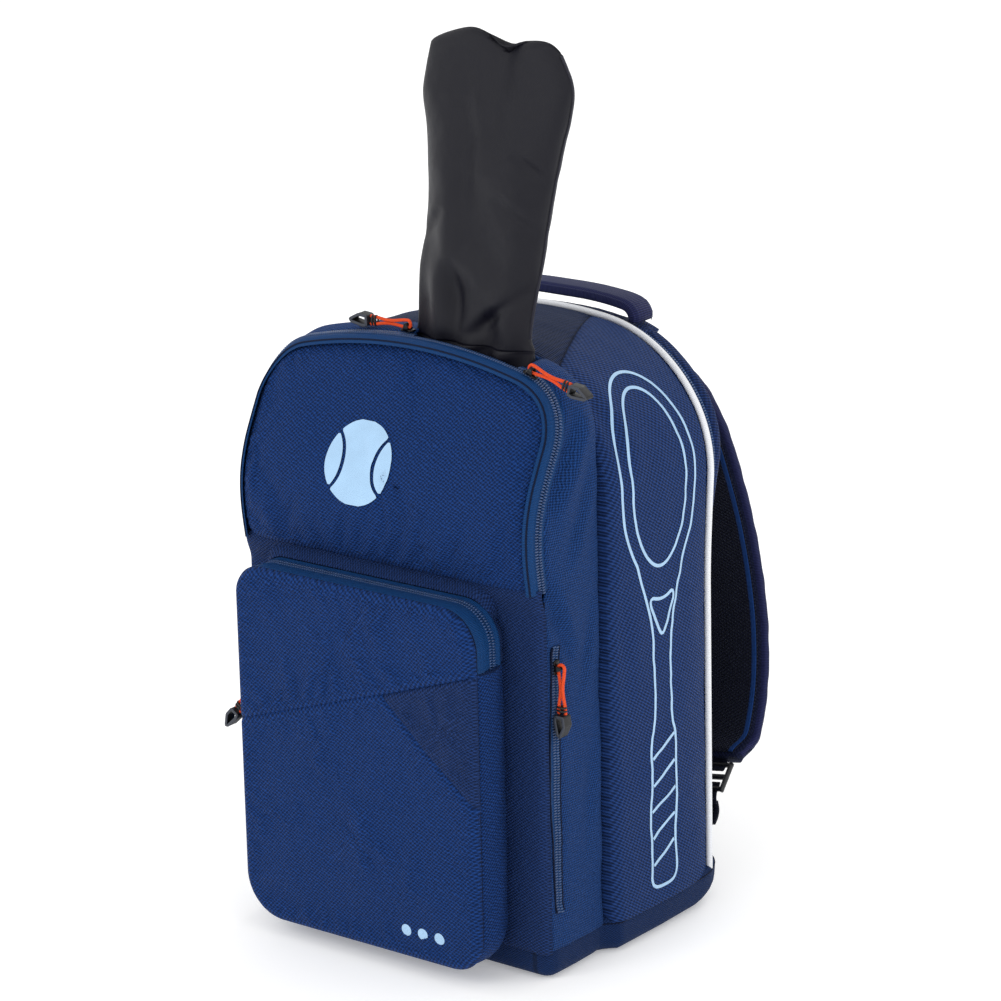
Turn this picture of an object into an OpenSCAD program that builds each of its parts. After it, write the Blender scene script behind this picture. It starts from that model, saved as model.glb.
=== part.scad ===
// Racket backpack: two arched compartments, a zipped front pocket, a handle sleeve and two shoulder straps.
// Millimetres. +X is the bag's left-to-right width, -Y is the front, +Z is up, and z = 0 is the base.

/* [Main compartment] */
// Width of the main compartment
main_w = 304; // [280:1:330]
// Height of its arch at the front edge
main_h = 480; // [470:1:490]
// Depth from the groove to the piping
main_depth = 133; // [120:1:150]
// Radius of the arch's corners
main_corner = 112; // [80:1:120]

/* [Racket compartment] */
// Width of the racket compartment
racket_w = 284; // [264:1:294]
// Height of its arch
racket_h = 480; // [470:1:490]
// Depth from the lower front panel to the groove
racket_depth = 69; // [60:1:80]
// Radius of the arch's corners
racket_corner = 52; // [45:1:85]
// Radius of the bulge of the opening front panel
panel_bulge = 256; // [250:1:262]
// Height of the fold line at the foot of the opening front panel
panel_foot = 306; // [304:1:308]

/* [Front pocket] */
// Width of the front pocket
pocket_w = 232; // [210:1:244]
// Height of the pocket's top edge
pocket_h = 300; // [290:1:301]
// Height of the pocket's bottom edge
pocket_foot = 14; // [10:1:18]
// Depth of the pocket
pocket_depth = 46; // [42:1:50]
// Height of the slanted seam at the pocket's left edge
seam_left = 176; // [160:1:190]
// Height of the slanted seam at the pocket's right edge
seam_right = 254; // [240:1:256]

/* [Fabric] */
// Thickness of the padded walls
wall = 5; // [4:0.5:6]
// Thickness of the pocket's walls
pocket_wall = 4; // [3.5:0.5:5]
// Height of the base's rim
rim_h = 22; // [18:1:26]

/* [Handle sleeve] */
// Height of the sleeve's top edge
sleeve_top = 714; // [700:1:716]
// Thickness of the sleeve's cloth
sleeve_wall = 3; // [2.5:0.5:3.5]

/* [Straps] */
// Width of a shoulder strap
strap_w = 66; // [60:1:70]
// Thickness of a strap's padding
strap_t = 10; // [8:1:11]
// Outward lean of a strap from top to bottom, degrees
strap_lean = 9.2; // [7:0.1:10]

/* [Zips] */
// Width of one zip tape
tape_w = 3.7; // [3.4:0.1:3.9]
// Length of a pull cord's loop
pull_len = 36; // [32:1:38]
// Clearance between a slider and its tape
slider_gap = 1.2; // [1:0.1:1.4]

/* [Hidden] */
$fn = 48;

NAVY = [0.10, 0.16, 0.34];
DEEP = [0.07, 0.11, 0.25];
TEAL = [0.08, 0.22, 0.42];
BLACK = [0.05, 0.05, 0.07];
SKY = [0.62, 0.80, 0.95];
ORANGE = [0.93, 0.27, 0.10];

// Depth stations, front to back; the strap's bow sets the rear of the whole
body_mid = 182;
pocket_y = -body_mid;
front_y = pocket_y + pocket_depth;
groove_y = front_y + racket_depth;
piping_y = groove_y + main_depth;
zip_y = piping_y + 6;
band_y = zip_y + 9;
back_y = band_y + 16;
floor_t = 5;
divider_t = 4;
gap = 0.6;

// Arches: a crown arc between two corner arcs
racket_crown = 420;
main_crown = 400;
top_fall = 10;
tilt = atan(top_fall / main_depth);
rear_top = main_h - top_fall;

// Bulge of the opening front panel: a cylinder along X
bulge_y = front_y - 9 + panel_bulge;
bulge_z = 345;
panel_t = 6;
zip_r = panel_bulge - panel_t - tape_w;

// Mouth between the two racket sliders
mouth_x0 = -4;
mouth_x1 = 96;
mouth_z = 440;
collar_y0 = -94;
collar_y1 = -73;
sleeve_z = 484;

// Pocket zip line and its slanted fold
pocket_zip_y = pocket_y + 24.4;
pocket_corner = 38;
seam_tilt = atan((seam_right - seam_left) / pocket_w);

// Handle: two feet on the rear band
foot_x = 72;
foot_z = 467;
foot_r = 4;
handle_y = band_y + 8;
handle_w = 24;

// Shoulder strap: side view of its centre line as [y, z]
strap_top = [98, 430];
strap_path = [[118, 414.5], [139, 391], [157, 355], [168, 312], [174.5, 271], [176.4, 230], [173.5, 188],
              [162.5, 144], [143.5, 108], [125.5, 90]];
strap_x = 62;
lock_pos = [113, 79];
lock_angle = 41;

// ---------- outlines ----------

function arc(cx, cy, r, a0, a1, n = 12) =
    [for (i = [0:n]) let (a = a0 + (a1 - a0) * i / n) [cx + r * cos(a), cy + r * sin(a)]];

// Arch of half-width hw and height top, inset by off
module arch_2d(hw, top, crown, corner, foot, off = 0) {
    cz = top - crown + sqrt(pow(crown - corner, 2) - pow(hw - corner, 2));
    lean = asin((hw - corner) / (crown - corner));
    polygon(concat([[-hw + off, foot], [hw - off, foot]],
                   arc(hw - corner, cz, corner - off, 0, 90 - lean),
                   arc(0, top - crown, crown - off, 90 - lean, 90 + lean),
                   arc(corner - hw, cz, corner - off, 90 + lean, 180)));
}

module racket_arch(off = 0, foot = rim_h) {
    arch_2d(racket_w / 2, racket_h, racket_crown, racket_corner, foot, off);
}

module rear_arch(off = 0, foot = rim_h) {
    arch_2d(main_w / 2, rear_top, main_crown, main_corner, foot, off);
}

module pocket_2d(off = 0) {
    hw = pocket_w / 2;
    r = pocket_corner;
    polygon(concat(arc(hw - r, pocket_foot + r, r - off, -90, 0), arc(hw - r, pocket_h - r, r - off, 0, 90),
                   arc(r - hw, pocket_h - r, r - off, 90, 180), arc(r - hw, pocket_foot + r, r - off, 180, 270)));
}

// Area above the pocket's slanted seam, raised by lift
module above_seam(lift = 0) {
    translate([0, (seam_left + seam_right) / 2 + lift]) rotate(seam_tilt) translate([-200, 0]) square([400, 300]);
}

module rounded_rect(x0, z0, x1, z1, r) {
    polygon(concat(arc(x1 - r, z0 + r, r, -90, 0, 6), arc(x1 - r, z1 - r, r, 0, 90, 6),
                   arc(x0 + r, z1 - r, r, 90, 180, 6), arc(x0 + r, z0 + r, r, 180, 270, 6)));
}

// ---------- slabs ----------

// Extrudes an outline drawn in X and Z between two depths
module y_slab(y0, y1) {
    translate([0, y1, 0]) rotate([90, 0, 0]) linear_extrude(y1 - y0) children();
}

// Extrudes an outline drawn in Y and Z between two widths
module x_slab(x0, x1) {
    translate([x0, 0, 0]) rotate([90, 0, 90]) linear_extrude(x1 - x0) children();
}

module z_slab(z0, z1) {
    translate([0, 0, z0]) linear_extrude(z1 - z0) children();
}

// Slice between two bulge cylinders, above the panel's fold line
module bulge_slice(r0, r1, foot = panel_foot) {
    intersection() {
        x_slab(-200, 200) translate([bulge_y, bulge_z]) difference() {
            circle(r1, $fn = 180);
            if (r0 > 0) circle(r0, $fn = 180);
        }
        translate([-200, front_y - 60, foot]) cube([400, 200, 300]);
    }
}

// Main compartment's arch solid, falling from front to rear
module main_solid(off, y0, y1, foot) {
    intersection() {
        rotate([-tilt, 0, 0]) y_slab(-200, 200)
            arch_2d(main_w / 2, (main_h + groove_y * tan(tilt)) * cos(tilt), main_crown, main_corner, -60, off);
        translate([-200, y0, foot]) cube([400, y1 - y0, 600]);
    }
}

module main_ring() {
    difference() {
        main_solid(0, groove_y + divider_t, piping_y, rim_h);
        main_solid(wall, groove_y, piping_y + 1, 0);
    }
}

module racket_ring() {
    intersection() {
        y_slab(front_y - 60, groove_y) difference() {
            racket_arch();
            racket_arch(wall, 0);
        }
        union() {
            bulge_slice(0, zip_r - tape_w - gap);
            translate([-200, front_y + panel_t, 0]) cube([400, 200, panel_foot]);
        }
    }
}

module right_half(x0 = 0) {
    translate([x0, -300, -1]) cube([300, 600, 900]);
}

module top_trapezoid() {
    z_slab(300, 600) polygon([[-105, groove_y], [105, groove_y], [42, piping_y], [-42, piping_y]]);
}

module mouth_cut() {
    translate([mouth_x0, front_y - 60, mouth_z]) cube([mouth_x1 - mouth_x0, groove_y - 3 - front_y + 60, 100]);
}

// ---------- body ----------

module footprint(off = 0) {
    r = 24 - off;
    racket_hw = racket_w / 2 - off;
    main_hw = main_w / 2 - off;
    translate([-racket_hw, front_y + off]) square([2 * racket_hw, racket_depth + 10 - off]);
    polygon(concat([[-main_hw, groove_y + off], [main_hw, groove_y + off]],
                   arc(main_hw - r, back_y - off - r, r, 0, 90, 6),
                   arc(r - main_hw, back_y - off - r, r, 90, 180, 6)));
}

module base_tray() {
    lift_y = 58;
    color(BLACK) difference() {
        z_slab(0, rim_h) footprint();
        z_slab(floor_t, rim_h + 1) footprint(wall);
        translate([-200, lift_y, 0]) rotate([4, 0, 0]) translate([0, 0, -30]) cube([400, 100, 30]);
    }
}

module main_side() {
    difference() {
        intersection() {
            main_ring();
            right_half();
        }
        top_trapezoid();
    }
}

module main_side_right() { color(NAVY) main_side(); }
module main_side_left() { color(NAVY) mirror([1, 0, 0]) main_side(); }

module main_top_panel() {
    color(TEAL) intersection() {
        main_ring();
        top_trapezoid();
    }
}

module rear_ring(off0, off1, y0, y1, foot = rim_h) {
    y_slab(y0, y1) difference() {
        rear_arch(off0, foot);
        rear_arch(off1, 0);
    }
}

module rear_piping() { color("white") rear_ring(-2, 3, piping_y, zip_y); }

zip_foot = 210;
module main_zip_tape() { color(TEAL) rear_ring(3, 7, zip_y, band_y, zip_foot); }

module rear_band() {
    color(NAVY) {
        rear_ring(6, 12, band_y, back_y);
        difference() {
            rear_ring(3, 12, zip_y, band_y);
            translate([-200, zip_y - 1, zip_foot]) cube([400, band_y - zip_y + 1, 400]);
        }
    }
}

module back_panel() { color(DEEP) y_slab(back_y - 8, back_y - 2) rear_arch(12, floor_t + 18); }

module back_pads() {
    color(DEEP) y_slab(back_y - 2, back_y + 7) {
        for (s = [0, 1]) mirror([s, 0]) rounded_rect(16, 150, 66, 385, 20);
        rounded_rect(-84, 56, 84, 128, 24);
    }
}

module divider() {
    color(DEEP) union() {
        main_solid(2, groove_y, groove_y + divider_t, rim_h);
        y_slab(groove_y, groove_y + divider_t) racket_arch(2);
        translate([-racket_w / 2 + wall, groove_y, floor_t]) cube([racket_w - 2 * wall, divider_t, rim_h - floor_t]);
    }
}

// ---------- racket compartment ----------

side_zip_y = front_y + 12;
side_zip_w = 8;
side_zip_z = [56, 264];

racket_arch_z = racket_h - racket_crown
    + sqrt(pow(racket_crown - racket_corner, 2) - pow(racket_w / 2 - racket_corner, 2));

module racket_side() {
    difference() {
        intersection() {
            racket_ring();
            right_half(100);
            translate([0, -300, 0]) cube([300, 600, racket_arch_z]);
        }
        translate([0, side_zip_y - side_zip_w / 2, side_zip_z[0]])
            cube([300, side_zip_w, side_zip_z[1] - side_zip_z[0]]);
    }
}

module racket_side_right() { color(NAVY) racket_side(); }
module racket_side_left() { color(NAVY) mirror([1, 0, 0]) racket_side(); }

module racket_top() {
    color(NAVY) difference() {
        intersection() {
            racket_ring();
            translate([-200, -300, racket_arch_z]) cube([400, 600, 300]);
        }
        mouth_cut();
    }
}

module lower_front_panel() {
    color(DEEP) translate([-racket_w / 2, front_y, rim_h]) cube([racket_w, panel_t, panel_foot - 3 - rim_h]);
}

module tape_ring(r0, r1) {
    intersection() {
        y_slab(front_y - 60, groove_y) difference() {
            racket_arch(0, 200);
            racket_arch(3, 190);
        }
        bulge_slice(r0, r1);
    }
}

module racket_zip_fixed() {
    color(TEAL) difference() {
        tape_ring(zip_r - tape_w - gap, zip_r - gap);
        mouth_cut();
    }
}

module side_linings() {
    lining_x = racket_w / 2 - 15;
    color(BLACK) for (s = [0, 1]) mirror([s, 0, 0])
        translate([lining_x, front_y + panel_t, 40]) cube([2, racket_depth - panel_t, 235]);
}

module side_zip() {
    translate([racket_w / 2 - 3.5, side_zip_y - side_zip_w / 2, side_zip_z[0]])
        cube([3.5, side_zip_w, side_zip_z[1] - side_zip_z[0]]);
}

module side_zip_right() { color(TEAL) side_zip(); }
module side_zip_left() { color(TEAL) mirror([1, 0, 0]) side_zip(); }

// Outlined tennis racket on each side of the main compartment, drawn in Y and Z
print_y = (groove_y + piping_y) / 2;
print_line = 4;
print_t = 0.6;
head_z = 374;
head_ry = 52;
head_rz = 80;
grip_z = [38, 168];

module head_2d(inset) {
    translate([print_y, head_z]) scale([(head_ry - inset) / head_rz, (head_rz - inset) / head_rz]) circle(head_rz);
}

module racket_2d() {
    head_2d(0);
    translate([print_y, 0]) {
        polygon([[-42, 330], [-10, 240], [10, 240], [42, 330]]);
        translate([-10, grip_z[1]]) square([20, 90]);
        rounded_rect(-16, grip_z[0], 16, grip_z[1] + print_line, 8);
    }
}

module side_print_2d() {
    difference() {
        racket_2d();
        offset(delta = -print_line) racket_2d();
    }
    difference() {
        head_2d(10);
        head_2d(10 + print_line);
    }
    for (k = [1:4]) translate([print_y - 16, grip_z[0] + 26 * k]) rotate(-24) square([34, print_line]);
}

module side_prints() {
    color(SKY) for (s = [0, 1]) mirror([s, 0, 0]) difference() {
        intersection() {
            x_slab(0, 200) side_print_2d();
            main_solid(-print_t, groove_y, piping_y, rim_h);
        }
        main_solid(0, groove_y - 1, piping_y + 1, 0);
    }
}

module racket_panel() {
    color(NAVY) intersection() {
        y_slab(front_y - 60, groove_y) racket_arch(0, 200);
        bulge_slice(panel_bulge - panel_t, panel_bulge);
    }
}

module racket_zip_moving() { color(TEAL) tape_ring(zip_r, panel_bulge - panel_t); }

emblem_pos = [-21, 388];
module panel_emblem() {
    color(SKY) intersection() {
        y_slab(front_y - 60, groove_y) translate(emblem_pos) difference() {
            circle(32);
            for (s = [-1, 1]) translate([s * 42, 0]) difference() {
                circle(29);
                circle(26);
            }
        }
        bulge_slice(panel_bulge, panel_bulge + print_t);
    }
}

// ---------- front pocket ----------

module pocket_ring(y0, y1, t = pocket_wall) {
    y_slab(y0, y1) difference() {
        pocket_2d();
        pocket_2d(t);
    }
}

module pocket_gusset() {
    color(NAVY) {
        pocket_ring(pocket_zip_y + tape_w + gap / 2, front_y);
        difference() {
            pocket_ring(pocket_y, pocket_zip_y + tape_w + gap / 2);
            y_slab(pocket_y - 1, front_y) above_seam();
        }
    }
}

inset_2d = [[26, 222], [116, 254], [116, 142]];

module lower_face_2d() {
    difference() {
        pocket_2d(pocket_wall);
        above_seam();
    }
}

module pocket_face_lower() {
    color(NAVY) y_slab(pocket_y, pocket_y + pocket_wall) difference() {
        lower_face_2d();
        polygon(inset_2d);
    }
}

module pocket_inset() {
    color(DEEP) y_slab(pocket_y, pocket_y + pocket_wall) intersection() {
        lower_face_2d();
        polygon(inset_2d);
    }
}

module pocket_mark() {
    color(SKY) y_slab(pocket_y - print_t, pocket_y) for (i = [0:2])
        translate([42 + 16 * i, 34]) circle(5);
}

module pocket_tape(y0, y1) {
    intersection() {
        pocket_ring(y0, y1, 3);
        y_slab(y0 - 1, y1 + 1) above_seam(gap);
    }
}

module pocket_zip_fixed() {
    color(TEAL) pocket_tape(pocket_zip_y + gap / 2, pocket_zip_y + tape_w + gap / 2);
}

module pocket_zip_moving() {
    color(TEAL) pocket_tape(pocket_zip_y - gap / 2 - tape_w, pocket_zip_y - gap / 2);
}

module pocket_flap() {
    color(NAVY) intersection() {
        union() {
            pocket_ring(pocket_y, pocket_zip_y - gap / 2 - tape_w);
            y_slab(pocket_y, pocket_y + pocket_wall) pocket_2d();
        }
        y_slab(pocket_y - 1, front_y) above_seam(gap);
    }
}

// ---------- handle sleeve and grab handle ----------

// Front view of the sleeve, with two rounded lobes over the two handles that it covers
sleeve_2d = concat([[92, sleeve_z], [103, 525], [115, 591], [131, 652]],
                   arc(106, sleeve_top - 31, 29, -12, 110, 6),
                   arc(38, sleeve_top - 34, 34, 70, 180, 6),
                   [[1, 640], [3, 603], [0, 560], [-6, 528], [0, sleeve_z]]);

module sleeve_solid(off) {
    intersection() {
        y_slab(-130, -40) offset(delta = -off) polygon(sleeve_2d);
        x_slab(-50, 200) polygon([[collar_y0 + off, sleeve_z - 1], [-99 + off, 512], [-99 + off, 676],
                                  [-88, sleeve_top - off], [-72, sleeve_top - off], [-60 - off, 676],
                                  [-60 - off, 512], [collar_y1 - off, sleeve_z - 1]]);
    }
}

module handle_sleeve() {
    color(BLACK) difference() {
        sleeve_solid(0);
        sleeve_solid(sleeve_wall);
        translate([3, collar_y0 + sleeve_wall, sleeve_z - 5])
            cube([86, collar_y1 - collar_y0 - 2 * sleeve_wall, 5 + sleeve_wall]);
    }
}

module sleeve_collar() {
    color(BLACK) difference() {
        translate([0, collar_y0, mouth_z - 18]) cube([92, collar_y1 - collar_y0, sleeve_z - gap - mouth_z + 18]);
        translate([3, collar_y0 + 3, mouth_z - 19]) cube([86, collar_y1 - collar_y0 - 6, 80]);
    }
}

module handle_anchors() {
    color(BLACK) intersection() {
        y_slab(handle_y - 8, handle_y + 8) difference() {
            rear_arch(2);
            rear_arch(6, 0);
        }
        for (s = [-1, 1]) translate([s * foot_x - 10, 0, 400]) cube([20, 200, 100]);
    }
}

handle_top = 489;
handle_t = 9;
module grab_handle() {
    bend = 13;
    leg_foot = foot_z + 2;
    color(NAVY) {
        y_slab(handle_y - handle_w / 2, handle_y + handle_w / 2) difference() {
            polygon(concat([[-foot_x - 5, leg_foot + 6], [-foot_x + 4, leg_foot + 6], [foot_x - 4, leg_foot + 6],
                            [foot_x + 5, leg_foot + 6]],
                           arc(foot_x + 5 - bend, handle_top - bend, bend, 0, 90, 6),
                           arc(bend - foot_x - 5, handle_top - bend, bend, 90, 180, 6)));
            translate([-foot_x + 4, 0]) square([2 * foot_x - 8, handle_top - handle_t]);
        }
        for (s = [-1, 1]) translate([s * foot_x - 5 + (s < 0 ? 0 : 1), handle_y, foot_z]) rotate([90, 0, 90])
            linear_extrude(9) union() {
                circle(foot_r, $fn = 32);
                translate([-foot_r, 0]) square([2 * foot_r, 8.5]);
            }
    }
}

// ---------- shoulder straps ----------

function spline(p, i, t) =
    let (a = p[max(i - 1, 0)], b = p[i], c = p[i + 1], d = p[min(i + 2, len(p) - 1)])
    0.5 * (2 * b + (c - a) * t + (2 * a - 5 * b + 4 * c - d) * t * t + (3 * b - a - 3 * c + d) * t * t * t);
strap_line = [for (i = [0:len(strap_path) - 2], k = [0:3]) spline(strap_path, i, k / 4)];
function normal(i) =
    let (d = strap_line[min(i + 1, len(strap_line) - 1)] - strap_line[max(i - 1, 0)]) [-d[1], d[0]] / norm(d);
function strap_side(off) = [for (i = [0:len(strap_line) - 1]) strap_line[i] + off * normal(i)];
function backwards(p) = [for (i = [len(p) - 1:-1:0]) p[i]];

// Leans a strap piece outwards about its top end
module lean() {
    translate([strap_x, 0, strap_top[1]]) rotate([0, -strap_lean, 0]) translate([0, 0, -strap_top[1]]) children();
}

module strap_layer(off0, off1, w) {
    lean() x_slab(-w / 2, w / 2) polygon(concat(strap_side(off0), backwards(strap_side(off1))));
}

module strap_pad() { strap_layer(-strap_t / 2, strap_t / 2, strap_w); }
module strap_lining() { strap_layer(-strap_t / 2 - 1.5, -strap_t / 2, strap_w - 8); }

lock_w = 38;
lock_l = 26;
module strap_lock() {
    slot_w = 30;
    slot_l = 4;
    lean() translate([0, lock_pos[0], lock_pos[1]]) rotate([lock_angle, 0, 0])
        difference() {
            translate([-lock_w / 2, -lock_l / 2, -2]) cube([lock_w, lock_l, 4]);
            for (s = [-1, 1]) translate([-slot_w / 2, s * 7 - slot_l / 2, -3]) cube([slot_w, slot_l, 6]);
        }
}

web_w = 25;
module strap_web() {
    lean() x_slab(-web_w / 2, web_w / 2) {
        polygon([[125.2, 88.2], [123.8, 89.8], [122.6, 88.7], [124, 87.1]]);
        polygon([[103.6, 69.4], [102.2, 71.2], [100.6, 67], [100.2, 61.5], [102.2, 61.5], [102.6, 66]]);
    }
}

module mirrored(side) { mirror([side < 0 ? 1 : 0, 0, 0]) children(); }

module strap_pad_right() { color(NAVY) strap_pad(); }
module strap_pad_left() { color(NAVY) mirrored(-1) strap_pad(); }
module strap_lining_right() { color(DEEP) strap_lining(); }
module strap_lining_left() { color(DEEP) mirrored(-1) strap_lining(); }
module strap_lock_right() { color(BLACK) strap_lock(); }
module strap_lock_left() { color(BLACK) mirrored(-1) strap_lock(); }
module strap_web_right() { color(BLACK) strap_web(); }
module strap_web_left() { color(BLACK) mirrored(-1) strap_web(); }

// Sewn top ends of the two straps
module strap_roots() {
    color(NAVY) for (s = [-1, 1]) mirrored(s) lean() x_slab(-strap_w / 2 + 3, strap_w / 2 - 3)
        polygon([[back_y - 2, 424], [107, 417], [111, 421], [back_y - 2, 437]]);
}

// Folded webbing tabs at the lower rear corners
module strap_tabs() {
    color(DEEP) for (s = [-1, 1]) mirrored(s) lean() x_slab(-14, 14)
        polygon([[back_y - 2, 38], [104, 50], [104, 60.5], [back_y - 2, 60.5]]);
}

// ---------- zip sliders and pulls ----------
// Local frame: the pull lies along +X, Y runs across the tape and +Z stands off it, from the tape's surface

bar_h = 6.6;
cord_r = 1.3;
loop_r = 2.9;
slider_l = 12;
slider_w = 7.4;

module slider() {
    translate([-slider_l / 2, -slider_w / 2, slider_gap]) cube([slider_l, slider_w, 0.6]);
    for (s = [-1, 1]) translate([-2.5, s * 2.7 - 0.7, slider_gap + 0.6]) cube([5, 1.4, bar_h + 1.2 - slider_gap]);
    translate([0, 2.8, bar_h]) rotate([90, 0, 0]) cylinder(r = 1.1, h = 5.6, $fn = 24);
}

// Turns a pull about its bar
module pull(turn) {
    translate([0, 0, bar_h]) rotate([0, turn, 0]) children();
}

module cord_loop() {
    rotate([90, 0, 0]) rotate([0, 0, 90]) rotate_extrude(angle = 180, $fn = 24)
        translate([loop_r, 0]) circle(cord_r, $fn = 13);
    for (s = [-1, 1]) translate([0, 0, s * loop_r]) rotate([0, 90, 0]) cylinder(r = cord_r, h = pull_len, $fn = 13);
}

// Folded diamond loop at the end of a pull cord
module pull_tab() {
    translate([pull_len, 4.5, 0]) rotate([90, 0, 0]) linear_extrude(9) difference() {
        polygon([[0, -4.4], [5, -5], [17, -2], [19, 0.5], [9, 5.4], [0, 4.4]]);
        polygon([[3, -2.4], [5, -2.8], [15, -0.8], [15.4, 0.2], [8.4, 3.4], [3, 2.4]]);
    }
}

// Flat metal pull that turns on a slider's bar
module metal_tab() {
    rotate([90, 0, 0]) linear_extrude(3.2, center = true) difference() {
        union() {
            circle(2.6, $fn = 24);
            translate([1.5, -0.8]) square([22, 1.6]);
        }
        circle(1.4, $fn = 24);
    }
}

module at_side_right() {
    translate([racket_w / 2, side_zip_y, 250]) rotate([0, 90, 0]) children();
}

// The pocket's slider stands a little further off, clear of the flap's tape as it folds down
pocket_slider_z = 199;
pocket_slider_lift = 0.6;

module at_pocket() {
    mirror([1, 0, 0]) translate([pocket_w / 2 + pocket_slider_lift, pocket_zip_y, pocket_slider_z])
        rotate([0, 90, 0]) children();
}

// Point on the racket compartment's arch and depth of the zip line there
left_slider_x = -12;
left_slider_z = racket_h - racket_crown + sqrt(pow(racket_crown, 2) - pow(left_slider_x, 2));
right_slider_angle = 68;
right_slider_x = racket_w / 2 - racket_corner + racket_corner * cos(right_slider_angle);
right_slider_z = racket_arch_z + racket_corner * sin(right_slider_angle);
function zip_depth(z) = bulge_y - sqrt(pow(zip_r - gap / 2, 2) - pow(z - bulge_z, 2));

module at_racket_right() {
    translate([right_slider_x, zip_depth(right_slider_z), right_slider_z])
        rotate([0, 90 - right_slider_angle, 0]) children();
}

module at_racket_left() {
    translate([left_slider_x, zip_depth(left_slider_z), left_slider_z])
        rotate([0, asin(left_slider_x / racket_crown), 0]) mirror([1, 0, 0]) children();
}

main_slider_angle = 60;
main_arc_z = rear_top - main_crown + sqrt(pow(main_crown - main_corner, 2) - pow(main_w / 2 - main_corner, 2));

module at_main() {
    mirror([1, 0, 0])
        translate([main_w / 2 - main_corner + (main_corner - 3) * cos(main_slider_angle), (zip_y + band_y) / 2,
                   main_arc_z + (main_corner - 3) * sin(main_slider_angle)])
        rotate([0, 90 - main_slider_angle, 0]) children();
}

// Rest angles of the pulls about their bars, positive towards the tape
hang = 0;
hang_pocket = -35;
rest_right = -6;
rest_left = 1;

module racket_slider_right() { color(BLACK) at_racket_right() slider(); }
module racket_cord_right() { color(ORANGE) at_racket_right() pull(rest_right) cord_loop(); }
module racket_tab_right() { color(BLACK) at_racket_right() pull(rest_right) pull_tab(); }
module racket_slider_left() { color(BLACK) at_racket_left() slider(); }
module racket_cord_left() { color(ORANGE) at_racket_left() pull(rest_left) cord_loop(); }
module racket_tab_left() { color(BLACK) at_racket_left() pull(rest_left) pull_tab(); }
module pocket_slider() { color(BLACK) at_pocket() slider(); }
module pocket_cord() { color(ORANGE) at_pocket() pull(hang_pocket) cord_loop(); }
module pocket_tab() { color(BLACK) at_pocket() pull(hang_pocket) pull_tab(); }
module side_slider_right() { color(BLACK) at_side_right() slider(); }
module side_cord_right() { color(ORANGE) at_side_right() pull(hang) cord_loop(); }
module side_tab_right() { color(BLACK) at_side_right() pull(hang) pull_tab(); }
module side_slider_left() { color(BLACK) mirrored(-1) at_side_right() slider(); }
module side_cord_left() { color(ORANGE) mirrored(-1) at_side_right() pull(hang) cord_loop(); }
module side_tab_left() { color(BLACK) mirrored(-1) at_side_right() pull(hang) pull_tab(); }
module main_slider() { color(BLACK) at_main() slider(); }
module main_tab() { color(BLACK) at_main() pull(hang) metal_tab(); }

// ---------- assembly ----------

base_tray();
main_side_left();
main_side_right();
main_top_panel();
rear_piping();
main_zip_tape();
rear_band();
back_panel();
back_pads();
divider();
racket_side_left();
racket_side_right();
racket_top();
lower_front_panel();
racket_zip_fixed();
side_linings();
side_zip_left();
side_zip_right();
side_prints();
pocket_gusset();
pocket_face_lower();
pocket_inset();
pocket_mark();
pocket_zip_fixed();
handle_anchors();
sleeve_collar();
strap_roots();
strap_tabs();
racket_panel();
racket_zip_moving();
panel_emblem();
pocket_flap();
pocket_zip_moving();
handle_sleeve();
grab_handle();
strap_pad_left();
strap_lining_left();
strap_lock_left();
strap_web_left();
strap_pad_right();
strap_lining_right();
strap_lock_right();
strap_web_right();
racket_slider_left();
racket_cord_left();
racket_tab_left();
racket_slider_right();
racket_cord_right();
racket_tab_right();
pocket_slider();
pocket_cord();
pocket_tab();
side_slider_left();
side_cord_left();
side_tab_left();
side_slider_right();
side_cord_right();
side_tab_right();
main_slider();
main_tab();
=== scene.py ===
"""Looks of a racket backpack, built around its CAD frame. Lengths are millimetres until a mesh is made."""
import math

import bpy
import numpy as np
from mathutils import Matrix, Vector


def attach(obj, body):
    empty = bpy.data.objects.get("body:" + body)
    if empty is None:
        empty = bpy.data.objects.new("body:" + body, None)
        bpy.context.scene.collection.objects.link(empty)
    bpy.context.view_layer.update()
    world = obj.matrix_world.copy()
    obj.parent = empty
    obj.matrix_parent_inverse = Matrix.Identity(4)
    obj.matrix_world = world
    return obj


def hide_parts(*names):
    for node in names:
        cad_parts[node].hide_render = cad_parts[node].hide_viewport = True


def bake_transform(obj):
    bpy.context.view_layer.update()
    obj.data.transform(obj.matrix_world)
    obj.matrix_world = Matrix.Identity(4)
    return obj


MM = 0.001
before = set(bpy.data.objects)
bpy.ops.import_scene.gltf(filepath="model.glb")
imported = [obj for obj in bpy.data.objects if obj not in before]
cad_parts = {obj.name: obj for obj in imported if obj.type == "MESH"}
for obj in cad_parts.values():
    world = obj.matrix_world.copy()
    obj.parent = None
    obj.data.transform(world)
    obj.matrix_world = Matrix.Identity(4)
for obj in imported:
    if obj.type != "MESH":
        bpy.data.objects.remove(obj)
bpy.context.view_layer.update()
scene = bpy.context.scene


def camera(azimuth, elevation, roll, distance, target, lens):
    """Looks at target from an azimuth round the bag and an elevation above the horizon, in degrees."""
    a, e, r = (math.radians(v) for v in (azimuth, elevation, roll))
    back = Vector((math.sin(a) * math.cos(e), -math.cos(a) * math.cos(e), math.sin(e)))
    right = Vector((math.cos(a), math.sin(a), 0))
    up = back.cross(right)
    right, up = right * math.cos(r) + up * math.sin(r), up * math.cos(r) - right * math.sin(r)
    data = bpy.data.cameras.new("camera")
    data.lens = lens
    data.sensor_width = 36
    obj = bpy.data.objects.new("camera", data)
    obj.matrix_world = Matrix((right, up, back)).transposed().to_4x4()
    obj.location = Vector(target) + back * distance
    scene.collection.objects.link(obj)
    scene.camera = obj


camera(37.6, 16.8, -1.3, 3.102, (0.0223, -0.0295, 0.336), 144.05)


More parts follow.
